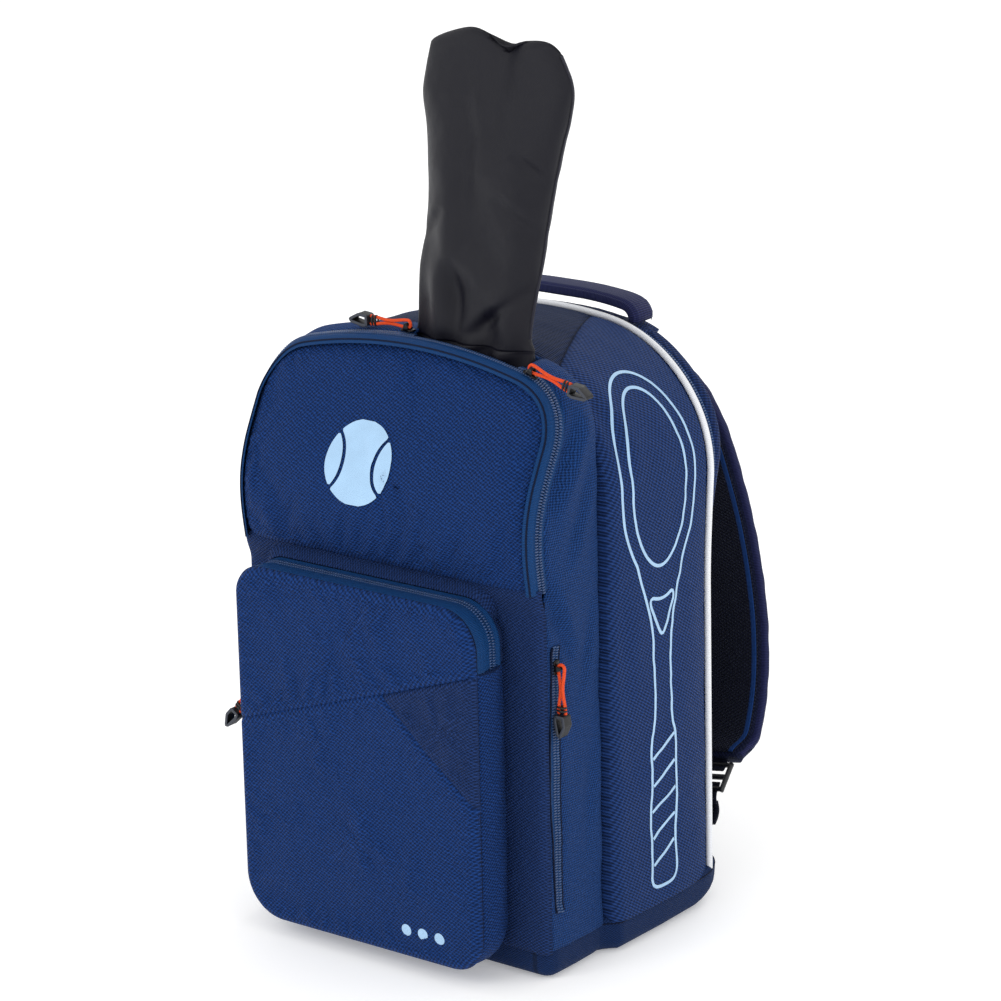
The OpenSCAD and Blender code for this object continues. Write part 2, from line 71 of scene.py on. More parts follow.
# ---------- meshes ----------


def set_cloth(mesh, cloth):
    """Stores fabric coordinates, in metres, on a mesh's points."""
    layer = mesh.attributes.new("cloth", "FLOAT_VECTOR", "POINT")
    flat = np.column_stack([cloth, np.zeros(len(cloth))]).astype(np.float32)
    layer.data.foreach_set("vector", flat.ravel())


def make_mesh(name, points, faces, cloth=None):
    """Object from points in millimetres, with fabric coordinates in metres on each point."""
    points = np.asarray(points, float).reshape(-1, 3)
    mesh = bpy.data.meshes.new(name)
    mesh.from_pydata((points * MM).tolist(), [], [tuple(f) for f in faces])
    if cloth is None:
        cloth = points[:, [0, 2]]
    cloth = np.asarray(cloth, float).reshape(-1, 2) * MM
    set_cloth(mesh, cloth)
    mesh.shade_smooth()
    mesh.validate()
    obj = bpy.data.objects.new(name, mesh)
    scene.collection.objects.link(obj)
    return obj


def grid_faces(rows, cols, wrap_rows=False, wrap_cols=False):
    """Four-sided faces between the points of a grid, row by row."""
    i, j = np.meshgrid(np.arange(rows - (not wrap_rows)), np.arange(cols - (not wrap_cols)), indexing="ij")
    up, right = (i + 1) % rows, (j + 1) % cols
    quads = [i * cols + j, up * cols + j, up * cols + right, i * cols + right]
    return np.stack([q.ravel() for q in quads], 1)


def grid(name, points, cloth, wrap=False, flip=False):
    """Sheet from a grid of points. wrap joins the last column to the first."""
    rows, cols = points.shape[:2]
    faces = grid_faces(rows, cols, wrap_cols=wrap)
    return make_mesh(name, points, faces[:, ::-1] if flip else faces, cloth)


def disc(name, rings, cloth, flip=False):
    """Sheet from closed rings, the last one shrunk to a centre point."""
    rows, cols = rings.shape[:2]
    faces = grid_faces(rows - 1, cols, wrap_cols=True).tolist()
    centre = (rows - 1) * cols
    last = centre - cols
    faces += [[last + k, centre, last + (k + 1) % cols] for k in range(cols)]
    points = np.vstack([rings[:-1].reshape(-1, 3), rings[-1].mean(0)])
    cloth = np.vstack([cloth[:-1].reshape(-1, 2), cloth[-1].mean(0)])
    return make_mesh(name, points, [f[::-1] for f in faces] if flip else faces, cloth)


def unit(v):
    """Vectors made one long."""
    v = np.asarray(v, float)
    return v / np.maximum(np.linalg.norm(v, axis=-1, keepdims=True), 1e-9)


def tangents(line, closed=False):
    """Direction of a line at each of its points."""
    line = np.asarray(line, float)
    if closed:
        return unit(np.roll(line, -1, 0) - np.roll(line, 1, 0))
    return unit(np.gradient(line, axis=0))


def along(line):
    """Distance along a line to each of its points."""
    line = np.asarray(line, float)
    steps = np.linalg.norm(np.diff(line, axis=0), axis=1)
    return np.concatenate([[0], np.cumsum(steps)])


def respace(line, step, *more):
    """Points a step apart along a line, with any more values at those points."""
    s = along(line)
    n = max(2, int(round(s[-1] / step)) + 1)
    at = np.linspace(0, s[-1], n)
    pick = [np.stack([np.interp(at, s, np.asarray(q, float)[:, k]) for k in range(np.shape(q)[1])], 1)
            for q in (line, *more)]
    return pick if more else pick[0]


def pair(across, down):
    """Grid of coordinate pairs from values across the columns and down the rows."""
    return np.stack(np.broadcast_arrays(np.asarray(across)[None], np.asarray(down)[:, None]), -1)


def tube_faces(rows, cols):
    """Faces of an open tube with both of its ends closed."""
    last = (rows - 1) * cols
    caps = [list(range(cols)), [last + k for k in range(cols)][::-1]]
    return grid_faces(rows, cols, wrap_cols=True).tolist() + caps


def sweep(name, line, side, section, closed=False):
    """Tube along a line, from a section of [across, out] points. side is its across direction."""
    line, side = np.asarray(line, float), np.asarray(side, float)
    run = tangents(line, closed)
    side = unit(side - (side * run).sum(-1, keepdims=True) * run)
    out = np.cross(run, side)
    section = np.asarray(section, float)
    if section.ndim == 2:
        section = np.broadcast_to(section, (len(line), *section.shape))
    points = line[:, None] + section[..., :1] * side[:, None] + section[..., 1:2] * out[:, None]
    rows, cols = points.shape[:2]
    faces = grid_faces(rows, cols, wrap_rows=True, wrap_cols=True) if closed else tube_faces(rows, cols)
    return make_mesh(name, points, faces, pair(along(section[0]), along(line)))


def ribbon(name, line, side, out, profile):
    """Open strip along a line. profile is [across, out] points."""
    profile = np.asarray(profile, float)
    points = line[:, None] + profile[:, :1] * side[:, None] + profile[:, 1:2] * out[:, None]
    return grid(name, points, pair(along(profile), along(line)))


def circle(r, n=12):
    """Section of a round cord."""
    a = np.linspace(0, 2 * np.pi, n, endpoint=False)
    return np.stack([r * np.cos(a), r * np.sin(a)], 1)


def rounded(w, t, r, n=4):
    """Rounded rectangle w wide and t thick, with corners of radius r."""
    corners = [(w / 2 - r, t / 2 - r, 0), (r - w / 2, t / 2 - r, 90), (r - w / 2, r - t / 2, 180),
               (w / 2 - r, r - t / 2, 270)]
    angles = np.linspace(0, 90, n + 1)
    return np.array([[x + r * math.cos(math.radians(a0 + a)), y + r * math.sin(math.radians(a0 + a))]
                     for x, y, a0 in corners for a in angles])


def flat_strip(w, t, n=8):
    """Closed section of a strip, w wide and t thick, with enough points across to bend."""
    x = np.linspace(-w / 2, w / 2, n)
    return np.vstack([np.stack([x, np.full(n, -t / 2)], 1), np.stack([x[::-1], np.full(n, t / 2)], 1)])


BOX = np.array([[x, y, z] for x in (-1, 1) for y in (-1, 1) for z in (-1, 1)], float) / 2
BOX_FACES = np.array([[0, 1, 3, 2], [4, 6, 7, 5], [0, 4, 5, 1], [2, 3, 7, 6], [0, 2, 6, 4], [1, 5, 7, 3]])


def many(name, size, places, x, y, z, taper=1.0):
    """One mesh of small blocks of a size, each at a place and turned to its x, y and z directions."""
    block = BOX * np.asarray(size, float)
    block = np.where((BOX[:, 2:] > 0), block * [taper, taper, 1], block)
    points = (places[:, None] + block[None, :, :1] * x[:, None] + block[None, :, 1:2] * y[:, None]
              + block[None, :, 2:] * z[:, None])
    faces = BOX_FACES[None] + 8 * np.arange(len(places))[:, None, None]
    return make_mesh(name, points, faces.reshape(-1, 4))


def join(name, objs):
    """Joins meshes into one object."""
    with bpy.context.temp_override(active_object=objs[0], object=objs[0], selected_objects=objs,
                                   selected_editable_objects=objs):
        bpy.ops.object.join()
    objs[0].name = name
    return objs[0]


def modify(obj, kind, **settings):
    """Adds a modifier with its settings and applies it."""
    modifier = obj.modifiers.new(kind.lower(), kind)
    for key, value in settings.items():
        setattr(modifier, key, value)
    graph = bpy.context.evaluated_depsgraph_get()
    mesh = bpy.data.meshes.new_from_object(obj.evaluated_get(graph), depsgraph=graph)
    obj.modifiers.clear()
    obj.data = mesh
    return obj


def thicken(obj, t):
    """Gives a sheet thickness on its inner side."""
    return modify(obj, "SOLIDIFY", thickness=t * MM, offset=-1)


def smoothstep(x):
    """0 below 0, 1 above 1 and a smooth rise between."""
    x = np.clip(x, 0, 1)
    return x * x * (3 - 2 * x)


def spline(knots, n):
    """n points on a smooth line through the knots."""
    p = np.asarray(knots, float)
    p = np.vstack([2 * p[0] - p[1], p, 2 * p[-1] - p[-2]])
    s = np.linspace(0, len(p) - 3 - 1e-9, n)
    i = s.astype(int)
    t = (s - i)[:, None]
    a, b, c, d = p[i], p[i + 1], p[i + 2], p[i + 3]
    return 0.5 * (2 * b + (c - a) * t + (2 * a - 5 * b + 4 * c - d) * t**2 + (3 * b - a - 3 * c + d) * t**3)


def ripple(u, v, size, seed, octaves=3):
    """Smooth uneven surface of about -1 to 1, with swells of about a size."""
    rng = np.random.default_rng(seed)
    total = 0
    for k in range(octaves):
        for _ in range(4):
            angle, phase = rng.uniform(0, 2 * np.pi, 2)
            f = 2 * np.pi / size * 2**k * rng.uniform(0.7, 1.3)
            total = total + np.sin(f * (u * np.cos(angle) + v * np.sin(angle)) + phase) / 2**k
    return total / 5


def fold(u, v, a, b, width, depth):
    """A crease from a to b that is deepest in the middle, with a soft swell beside it."""
    a, b = np.asarray(a, float), np.asarray(b, float)
    run = b - a
    long = np.hypot(*run)
    s = ((u - a[0]) * run[0] + (v - a[1]) * run[1]) / long**2
    d = ((v - a[1]) * run[0] - (u - a[0]) * run[1]) / long / width
    ends = np.clip(1 - (2 * s - 1) ** 2, 0, 1) ** 0.7
    return -depth * ends * (np.exp(-d * d) - 0.6 * np.exp(-((d - 1.6) / 1.2) ** 2))


def roll(d, width, depth):
    """How far an edge has rolled in at a distance d from it."""
    x = 1 - np.clip(d / width, 0, 1)
    return -depth * (1 - np.sqrt(np.maximum(1 - x * x, 0)))


def ends_dense(n, power=2.0):
    """n values from 0 to 1, closer together at both ends."""
    x = np.linspace(-1, 1, n)
    return 0.5 + 0.5 * np.sign(x) * (1 - (1 - np.abs(x)) ** power)


# ---------- arches ----------


class Arch:
    """A crown arc between two corner arcs on straight sides. t is the distance along it from its top."""

    def __init__(self, half, top, crown, corner):
        self.half, self.top, self.crown, self.corner = half, top, crown, corner
        self.cz = top - crown + math.sqrt((crown - corner) ** 2 - (half - corner) ** 2)
        self.lean = math.asin((half - corner) / (crown - corner))
        self.a = crown * self.lean
        self.b = corner * (math.pi / 2 - self.lean)

    def length(self, foot):
        """Distance along the arch from its top down to a height."""
        return self.a + self.b + self.cz - foot

    def t_of_x(self, x):
        """Where on the arch a sideways position is."""
        x = np.asarray(x, float)
        turn = np.arcsin(np.clip((np.abs(x) - self.half + self.corner) / self.corner, -1, 1))
        crown = self.crown * np.arcsin(np.clip(np.abs(x) / self.crown, 0, 1))
        t = np.where(crown < self.a, crown, self.a + self.corner * (turn - self.lean))
        return np.sign(x) * t

    def at(self, t):
        """(x, z, outward x, outward z) at t."""
        u = np.abs(t)
        turn = np.where(u < self.a, u / self.crown, self.lean + (u - self.a) / self.corner)
        turn = np.minimum(turn, math.pi / 2)
        on_crown = u < self.a
        r = np.where(on_crown, self.crown, self.corner)
        x = np.where(on_crown, 0, self.half - self.corner) + r * np.sin(turn)
        z = np.where(on_crown, self.top - self.crown, self.cz) + r * np.cos(turn)
        z = z - np.maximum(u - self.a - self.b, 0)
        sign = np.where(np.asarray(t) < 0, -1, 1)
        return sign * x, z, sign * np.sin(turn), np.cos(turn)


def outward(arch, t):
    """Outward directions of an arch at t."""
    _, _, nx, nz = arch.at(t)
    return np.stack([nx, 0 * nx, nz], 1)


def skin(arch, t, y, out, fall=0):
    """Points on an arch at t and depth y, raised by out and lowered by fall."""
    x, z, nx, nz = arch.at(t)
    return np.stack(np.broadcast_arrays(x + nx * out, y, z + nz * out - fall), -1)


RACKET = Arch(142, 480, 420, 52)
MAIN = Arch(152, 479, 400, 112)
REAR = Arch(153, 469, 400, 114)
FRONT_Y, GROOVE_Y, PIPING_Y, ZIP_Y, BAND_Y, BACK_Y = -136, -67, 66, 72, 81, 97
RIM = 24


def main_fall(y):
    """How far the main compartment's roof has dropped at a depth."""
    return 10 * (np.asarray(y) - GROOVE_Y) / (PIPING_Y - GROOVE_Y)


def narrowing(y, z):
    """How far the bag's rear draws in below its shoulders."""
    return 21.5 * np.clip((np.asarray(y) - 20) / 77, 0, 1) ** 3 * smoothstep((410 - z) / 150)


# ---------- materials ----------


def lin(r, g, b):
    """Linear colour from 8-bit screen values."""
    c = np.array([r, g, b]) / 255
    return (*np.where(c < 0.04045, c / 12.92, ((c + 0.055) / 1.055) ** 2.4), 1.0)


def feed(tree, socket, value):
    """Links a value to a socket, or sets it when it is plain. None leaves the socket alone."""
    if isinstance(value, bpy.types.NodeSocket):
        tree.links.new(value, socket)
    elif value is not None:
        socket.default_value = value


class Graph:
    """A material's nodes."""

    def __init__(self, name):
        self.material = bpy.data.materials.new(name)
        self.material.use_nodes = True
        self.tree = self.material.node_tree
        self.shader = self.tree.nodes["Principled BSDF"]
        cloth = self.node("ShaderNodeAttribute")
        cloth.attribute_name = "cloth"
        self.cloth = cloth.outputs["Vector"]
        split = self.node("ShaderNodeSeparateXYZ", self.cloth)
        self.u, self.v = split.outputs[0], split.outputs[1]

    def node(self, kind, *inputs, **settings):
        """Adds a node with its settings and feeds its inputs in order."""
        node = self.tree.nodes.new(kind)
        for key, value in settings.items():
            setattr(node, key, value)
        for k, value in enumerate(inputs):
            feed(self.tree, node.inputs[k], value)
        return node

    def calc(self, operation, *inputs):
        """Adds a Math node and returns its output."""
        return self.node("ShaderNodeMath", *inputs, operation=operation).outputs[0]

    def wave(self, along, period, phase=0.0):
        """Sine of a length in metres with a period in millimetres."""
        turned = self.calc("MULTIPLY_ADD", along, 2 * math.pi / (period * MM), phase)
        return self.calc("SINE", turned)

    def mix(self, a, x, b, y):
        """a times x plus b times y."""
        return self.calc("MULTIPLY_ADD", a, x, self.calc("MULTIPLY", b, y))

    def noise(self, size, detail=3.0, where=None):
        """Noise of about 0 to 1 with swells of a size in millimetres."""
        if where is None:
            where = self.node("ShaderNodeTexCoord").outputs["Object"]
        node = self.node("ShaderNodeTexNoise", where)
        node.inputs["Scale"].default_value = 1 / (size * MM)
        node.inputs["Detail"].default_value = detail
        return node.outputs["Fac"]

    def ramp(self, value, stops):
        """Colour from a value through (position, colour) stops."""
        node = self.node("ShaderNodeValToRGB", value)
        ramp = node.color_ramp
        while len(ramp.elements) < len(stops):
            ramp.elements.new(0.5)
        for element, (position, colour) in zip(ramp.elements, stops):
            element.position = position
            element.color = colour
        return node.outputs["Color"]

    def blended(self, a, b, factor):
        """Colour between a and b."""
        node = self.node("ShaderNodeMix", data_type="RGBA")
        sockets = [node.inputs["Factor"], *(s for s in node.inputs if s.type == "RGBA")]
        for socket, value in zip(sockets, (factor, a, b)):
            feed(self.tree, socket, value)
        return next(s for s in node.outputs if s.type == "RGBA")

    def bump(self, height, distance, strength=1.0, under=None):
        """Normal of a surface raised by up to a distance in millimetres, over another normal."""
        node = self.node("ShaderNodeBump")
        settings = {"Strength": strength, "Distance": distance * MM, "Height": height, "Normal": under}
        for key, value in settings.items():
            feed(self.tree, node.inputs[key], value)
        return node.outputs["Normal"]

    def finish(self, colour, normal, roughness, sheen=0.0, metallic=0.0, tint=(1, 1, 1, 1), specular=0.5):
        """Sets the shader. Plain values go on its own sockets."""
        settings = {"Base Color": colour, "Normal": normal, "Roughness": roughness, "Sheen Weight": sheen,
                    "Sheen Roughness": 0.45, "Sheen Tint": tint, "Metallic": metallic,
                    "Specular IOR Level": specular}
        for key, value in settings.items():
            feed(self.tree, self.shader.inputs[key], value)
        self.material.diffuse_color = (0.1, 0.15, 0.3, 1)
        return self.material


def shade(colour, k):
    """Colour made k times as bright."""
    return (*(c * k for c in colour[:3]), 1.0)


def weave(g, kind, pitch, angle=0.0):
    """Height of a weave, about -1 to 1."""
    c, s = math.cos(math.radians(angle)), math.sin(math.radians(angle))
    strayed = g.calc("MULTIPLY", g.calc("SUBTRACT", g.noise(5, 2, g.cloth), 0.5), 0.9 * pitch * MM)
    u = g.calc("ADD", g.mix(g.u, c, g.v, s), strayed)
    v = g.calc("ADD", g.mix(g.v, c, g.u, -s), g.calc("MULTIPLY", strayed, 0.6))
    if kind == "dobby":
        bumps = g.calc("MULTIPLY", g.wave(u, pitch), g.wave(v, pitch * 0.7))
        return g.mix(bumps, 0.85, g.wave(g.calc("ADD", u, v), pitch * 0.4), 0.15)
    if kind == "twill":
        return g.mix(g.wave(v, pitch), 0.65, g.wave(u, pitch * 1.7), 0.35)
    if kind == "mesh":
        third = g.mix(u, 0.5, v, 0.866)
        other = g.mix(u, 0.5, v, -0.866)
        waves = g.calc("ADD", g.calc("ADD", g.wave(third, pitch), g.wave(other, pitch)), g.wave(u, pitch))
        return g.calc("MULTIPLY", waves, 0.4)
    if kind == "rib":
        return g.mix(g.wave(v, pitch), 0.8, g.wave(u, pitch * 3.1), 0.2)
    if kind == "braid":
        return g.calc("MULTIPLY", g.wave(g.calc("ADD", u, v), pitch), g.wave(g.calc("SUBTRACT", u, v), pitch))
    return g.calc("MULTIPLY", g.wave(u, pitch), g.wave(v, pitch))


def fabric(name, colour, kind="plain", pitch=1.2, angle=0.0, painted_weave_contrast=0.35, depth=0.35, roughness=0.7,
           sheen=0.03, tint=(0.55, 0.7, 1, 1), wear=0.12, specular=0.12):
    """Woven cloth: painted highlight on the raised weave and painted shade in the hollows between its yarns,
    uneven dye, and a soft nap.
    """
    g = Graph(name)
    height = weave(g, kind, pitch, angle)
    level = g.calc("MULTIPLY_ADD", height, 0.5, 0.5)
    dye = g.noise(38, 4)
    grain = g.noise(1.1, 2, g.cloth)
    level = g.mix(level, 0.8, grain, 0.2)
    # Painted highlight on the raised weave and painted shade in its hollows, set by the weave height; in the
    # mesh fabrics the dark holes also stand for the dark layer behind them.
    bright = (*(c + 0.004 * painted_weave_contrast for c in shade(colour, 1 + 1.1 * painted_weave_contrast)[:3]), 1.0)
    weave_painted_light = g.ramp(level, [(0.25, shade(colour, 1 - painted_weave_contrast)), (0.5, colour), (0.75, bright)])
    faded = g.blended(weave_painted_light, shade(colour, 1 + 2.2 * wear), g.calc("MULTIPLY", dye, wear * 2))
    under = g.bump(g.noise(24, 3), 0.5, 0.5)
    normal = g.bump(g.mix(height, 0.8, grain, 0.4), depth, 0.9, under)
    rough = g.calc("MULTIPLY_ADD", dye, 0.14, roughness - 0.07)
    return g.finish(weave_painted_light if wear == 0 else faded, normal, rough, sheen, tint=tint, specular=specular)


def plastic(name, colour, roughness=0.4, metallic=0.0, depth=0.05):
    """Moulded or cast part with a fine grain and scuffs."""
    g = Graph(name)
    grain = g.noise(0.7, 3)
    scuffs = g.noise(9, 5)
    tone = g.ramp(scuffs, [(0.3, colour), (0.8, shade(colour, 1.5))])
    rough = g.calc("MULTIPLY_ADD", scuffs, 0.25, roughness - 0.12)
    return g.finish(tone, g.bump(grain, depth, 0.5), rough, metallic=metallic)


def film(name, colour):
    """Printed film: smooth, a little uneven, with the cloth just showing through."""
    g = Graph(name)
    under = weave(g, "dobby", 2.4)
    tone = g.ramp(g.noise(16, 4), [(0.2, shade(colour, 0.86)), (0.8, colour)])
    normal = g.bump(g.mix(under, 0.6, g.noise(3, 3), 0.4), 0.12, 0.6)
    return g.finish(tone, normal, g.calc("MULTIPLY_ADD", g.noise(7, 3), 0.2, 0.32))


DOBBY = fabric("dobby", lin(11, 45, 98), "dobby", 4.2, angle=12, painted_weave_contrast=0.72, depth=0.9)
TWILL = fabric("twill", lin(17, 52, 104), "dobby", 3.4, angle=-33, painted_weave_contrast=0.66, depth=0.8)
SIDE_TWILL = fabric("side_twill", lin(23, 49, 98), "twill", 2.3, angle=-30, painted_weave_contrast=0.7, depth=0.8)
DARK = fabric("dark_twill", lin(19, 42, 86), "dobby", 3.6, painted_weave_contrast=0.66, depth=0.8)
RIBBED = fabric("ribbed", lin(13, 29, 62), "twill", 2.3, angle=8, painted_weave_contrast=0.66, depth=0.6)
BASE = fabric("base_cloth", lin(12, 36, 76), "dobby", 2.8, painted_weave_contrast=0.5, depth=0.5)
BAND = fabric("band_cloth", lin(19, 40, 84), "twill", 2.3, angle=20, painted_weave_contrast=0.6, depth=0.6)
AIR_MESH = fabric("air_mesh", lin(22, 28, 52), "mesh", 3.2, painted_weave_contrast=0.8, depth=0.9, roughness=0.8, sheen=0.3)
STRAP_MESH = fabric("strap_mesh", lin(11, 13, 30), "mesh", 2.6, painted_weave_contrast=0.7, depth=0.8, roughness=0.8,
                    sheen=0.12)
STRAP_CLOTH = fabric("strap_cloth", lin(18, 24, 50), "twill", 2.2, angle=30, painted_weave_contrast=0.35, roughness=0.7)
LINING = fabric("lining", lin(38, 42, 58), "plain", 1.0, painted_weave_contrast=0.2, depth=0.15, roughness=0.5)
TAPE = fabric("zip_tape", lin(14, 58, 108), "rib", 1.1, painted_weave_contrast=0.3, depth=0.3, roughness=0.5, wear=0.05)
BINDING = fabric("binding", lin(32, 36, 76), "rib", 1.3, painted_weave_contrast=0.4, depth=0.35, roughness=0.55)
STRIPE = fabric("stripe", lin(24, 60, 120), "rib", 1.1, painted_weave_contrast=0.3, depth=0.3)
WEBBING = fabric("webbing", lin(16, 19, 34), "rib", 1.6, painted_weave_contrast=0.5, depth=0.5, roughness=0.6)
PIPING = fabric("piping", lin(238, 240, 244), "rib", 1.4, painted_weave_contrast=0.06, depth=0.12, roughness=0.4, wear=0.02,
                tint=(1, 1, 1, 1), sheen=0.1)
SLEEVE = fabric("sleeve_cloth", lin(7, 7, 20), painted_weave_contrast=0.16, depth=0.1, roughness=0.4, sheen=0.0,
                tint=(0.8, 0.8, 1, 1), wear=0.04, specular=0.27)
SEAM_TRIM = fabric("seam_trim", lin(30, 29, 42), "rib", 1.0, painted_weave_contrast=0.3, roughness=0.45, specular=0.4)
CORD = fabric("cord", lin(238, 84, 42), "braid", 1.5, depth=0.3, roughness=0.6, tint=(1, 0.8, 0.7, 1),
              wear=0.05)
THREAD = fabric("thread", lin(30, 44, 84), "braid", 0.7, painted_weave_contrast=0.5, depth=0.1, wear=0.0)
HEM = fabric("hem", lin(9, 20, 46), "rib", 1.1, painted_weave_contrast=0.4)
COIL = plastic("coil", lin(46, 70, 110), 0.35)
SLIDER = plastic("slider_metal", lin(20, 20, 24), 0.32, metallic=0.6)
BUCKLE = plastic("buckle", lin(17, 18, 22), 0.42)
RUBBER = plastic("pull_tab", lin(9, 10, 14), 0.55)
RUBBER_EDGE = plastic("pull_tab_edge", lin(44, 48, 58), 0.45)
PRINT = film("print", lin(168, 205, 238))


def dress(obj, material):
    """Gives a piece its material and the material's slot."""
    obj.data.materials.clear()
    obj.data.materials.append(material)
    return obj


def place(obj, material, body="bag", replaces=()):
    """Gives a piece its cloth and its body."""
    dress(obj, material)
    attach(obj, body)
    if replaces:
        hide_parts(*([replaces] if isinstance(replaces, str) else replaces))
    return obj


# ---------- racket compartment ----------

ZIP_LINE = np.array([[296, -134], [308, -136], [338, -140], [361, -139.5], [382, -134], [402, -124.5],
                     [422, -114], [443, -105], [458, -101.5], [480, -101], [500, -101]], float)
ZIP_CURVE = spline(ZIP_LINE, 120)
PANEL_FOOT = 311.5
MOUTH = (-4, 96)


def racket_zip_y(z):
    """Depth of the racket compartment's zip at a height."""
    return np.interp(z, ZIP_CURVE[:, 0], ZIP_CURVE[:, 1])


def to_outline(x, z, outline):
    """Distance from points to a closed outline."""
    a, b = outline, np.roll(outline, -1, 0)
    p = np.stack([np.ravel(x), np.ravel(z)], 1)
    best = np.full(len(p), 1e9)
    for q, run in zip(a, b - a):
        s = np.clip(((p - q) @ run) / max(run @ run, 1e-9), 0, 1)
        best = np.minimum(best, np.linalg.norm(p - q - s[:, None] * run, axis=1))
    return best.reshape(np.shape(x))


def rings_of(outline, centre, count=34, power=1.7):
    """Rings from a closed outline to a centre, closer together near the outline."""
    shares = 1 - np.linspace(0, 1, count) ** power
    return centre + (np.asarray(outline)[None] - centre) * shares[:, None, None]


def round_trip(outline):
    """Distance along a closed outline to each of its points."""
    return along(np.vstack([outline, outline[:1]]))[:-1]


def dense(outline, step=3.5):
    """Closed outline with points a step apart."""
    closed = np.vstack([outline, outline[:1]])
    return respace(closed, step)[:-1]


def corners(mesh):
    """Positions of a mesh's points, in metres."""
    flat = np.zeros(len(mesh.vertices) * 3)
    mesh.vertices.foreach_get("co", flat)
    return flat.reshape(-1, 3)


def settle(obj, pinned, grow, pressure, cap, frames=20, stiffness=8):
    """Lets a padded cloth swell by simulation. Pinned points are held and the travel is capped."""
    rest = corners(obj.data)
    group = obj.vertex_groups.new(name="held")
    for k, weight in enumerate(pinned):
        if weight > 0:
            group.add([k], float(weight), "REPLACE")
    cloth = obj.modifiers.new("cloth", "CLOTH")
    chosen = {"quality": 6, "mass": 0.25, "tension_stiffness": stiffness, "compression_stiffness": stiffness,
              "shear_stiffness": stiffness * 0.6, "bending_stiffness": 0.25, "air_damping": 4,
              "vertex_group_mass": "held", "shrink_min": -grow, "use_pressure": True,
              "uniform_pressure_force": pressure}
    for key, value in chosen.items():
        setattr(cloth.settings, key, value)
    cloth.settings.effector_weights.gravity = 0
    cloth.collision_settings.use_collision = False
    cloth.point_cache.frame_start = 1
    cloth.point_cache.frame_end = frames
    for k in range(1, frames + 1):
        scene.frame_set(k)
    travel = corners(obj.evaluated_get(bpy.context.evaluated_depsgraph_get()).data) - rest
    far = np.linalg.norm(travel, axis=1, keepdims=True)
    limit = cap * MM
    travel = travel / np.maximum(far, 1e-9) * limit * np.tanh(far / limit)
    obj.modifiers.remove(cloth)
    obj.vertex_groups.clear()
    scene.frame_set(1)
    obj.data.vertices.foreach_set("co", (rest + travel).ravel())
    obj.data.update()
    return obj


def top_slope(z):
    """How far the panel's face leans back towards its crown."""
    return 5.0 * smoothstep((z - 440) / 45)


def racket_panel():
    """Domed panel that folds open above its foot, with its edge rolled in to the zip."""
    reach = RACKET.length(PANEL_FOOT)
    t = np.linspace(-reach, reach, 170)
    x, z, nx, nz = RACKET.at(t)
    arch = np.stack([x - 3 * nx, z - 3 * nz], 1)
    outline = dense(np.vstack([arch, [[0, PANEL_FOOT]]]))
    flat = rings_of(outline, np.array([0.0, 385.0]), 40)
    px, pz = flat[..., 0], flat[..., 1]
    edge = np.array([arch[0] - [0, 60], *arch, arch[-1] - [0, 60]])
    d = to_outline(px, pz, edge)
    puff = 3.5 * (1 - np.exp(-d / 26))
    seam = roll(pz - PANEL_FOOT, 16, 6)
    slack = 0.9 * ripple(px, pz, 70, 3) * np.clip(d / 20, 0, 1)
    slack = slack + 0.5 * ripple(px, pz * 0.6, 26, 5) * np.exp(-((d - 12) / 10) ** 2)
    y = racket_zip_y(pz) - 11 - puff - seam - slack - roll(d, 17, 8) + top_slope(pz)
    points = np.stack([px, y, pz], -1)
    obj = disc("racket_panel_cloth", points, np.stack([px, pz * 1.05], -1))
    d_flat = np.append(d[:-1].ravel(), 99)
    foot = np.append(np.abs(pz[:-1] - PANEL_FOOT).ravel(), 99)
    settle(obj, 1 - smoothstep((np.minimum(d_flat, foot) - 3) / 6), 0.035, 3.0, 2.5)
    thicken(obj, 3)
    return place(obj, DOBBY, "racket_panel", "racket_panel")


def zip_frame(path_t, off):
    """Racket zip line with its outward and front-to-back directions."""
    x, z, nx, nz = RACKET.at(path_t)
    line = np.stack([x + off * nx, racket_zip_y(z), z + off * nz], 1)
    out = np.stack([nx, 0 * nx, nz], 1)
    run = tangents(line)
    across = np.cross(run, out)
    return line, across * np.sign(across[:, 1:2] + 1e-9), out


def teeth(name, line, across, out, side, pitch=2.2, lift=0.4, size=(3.9, 1.25, 1.6), shift=0.2):
    """One row of a zip's coil on one side of its centre line."""
    n = int(along(line)[-1] / pitch)
    line, across, out = respace(line, along(line)[-1] / n, across, out)
    half = 0.5 * side * pitch / 2
    run = tangents(line)
    at = line + across * side * (size[0] / 2 + shift) + out * lift + run * half
    return many(name, size, at, unit(across), run, unit(out), 0.7)


def trimmed(a, b, step=2.0):
    """Values from a to b, about a step apart."""
    return np.linspace(a, b, max(2, int(abs(b - a) / step)))


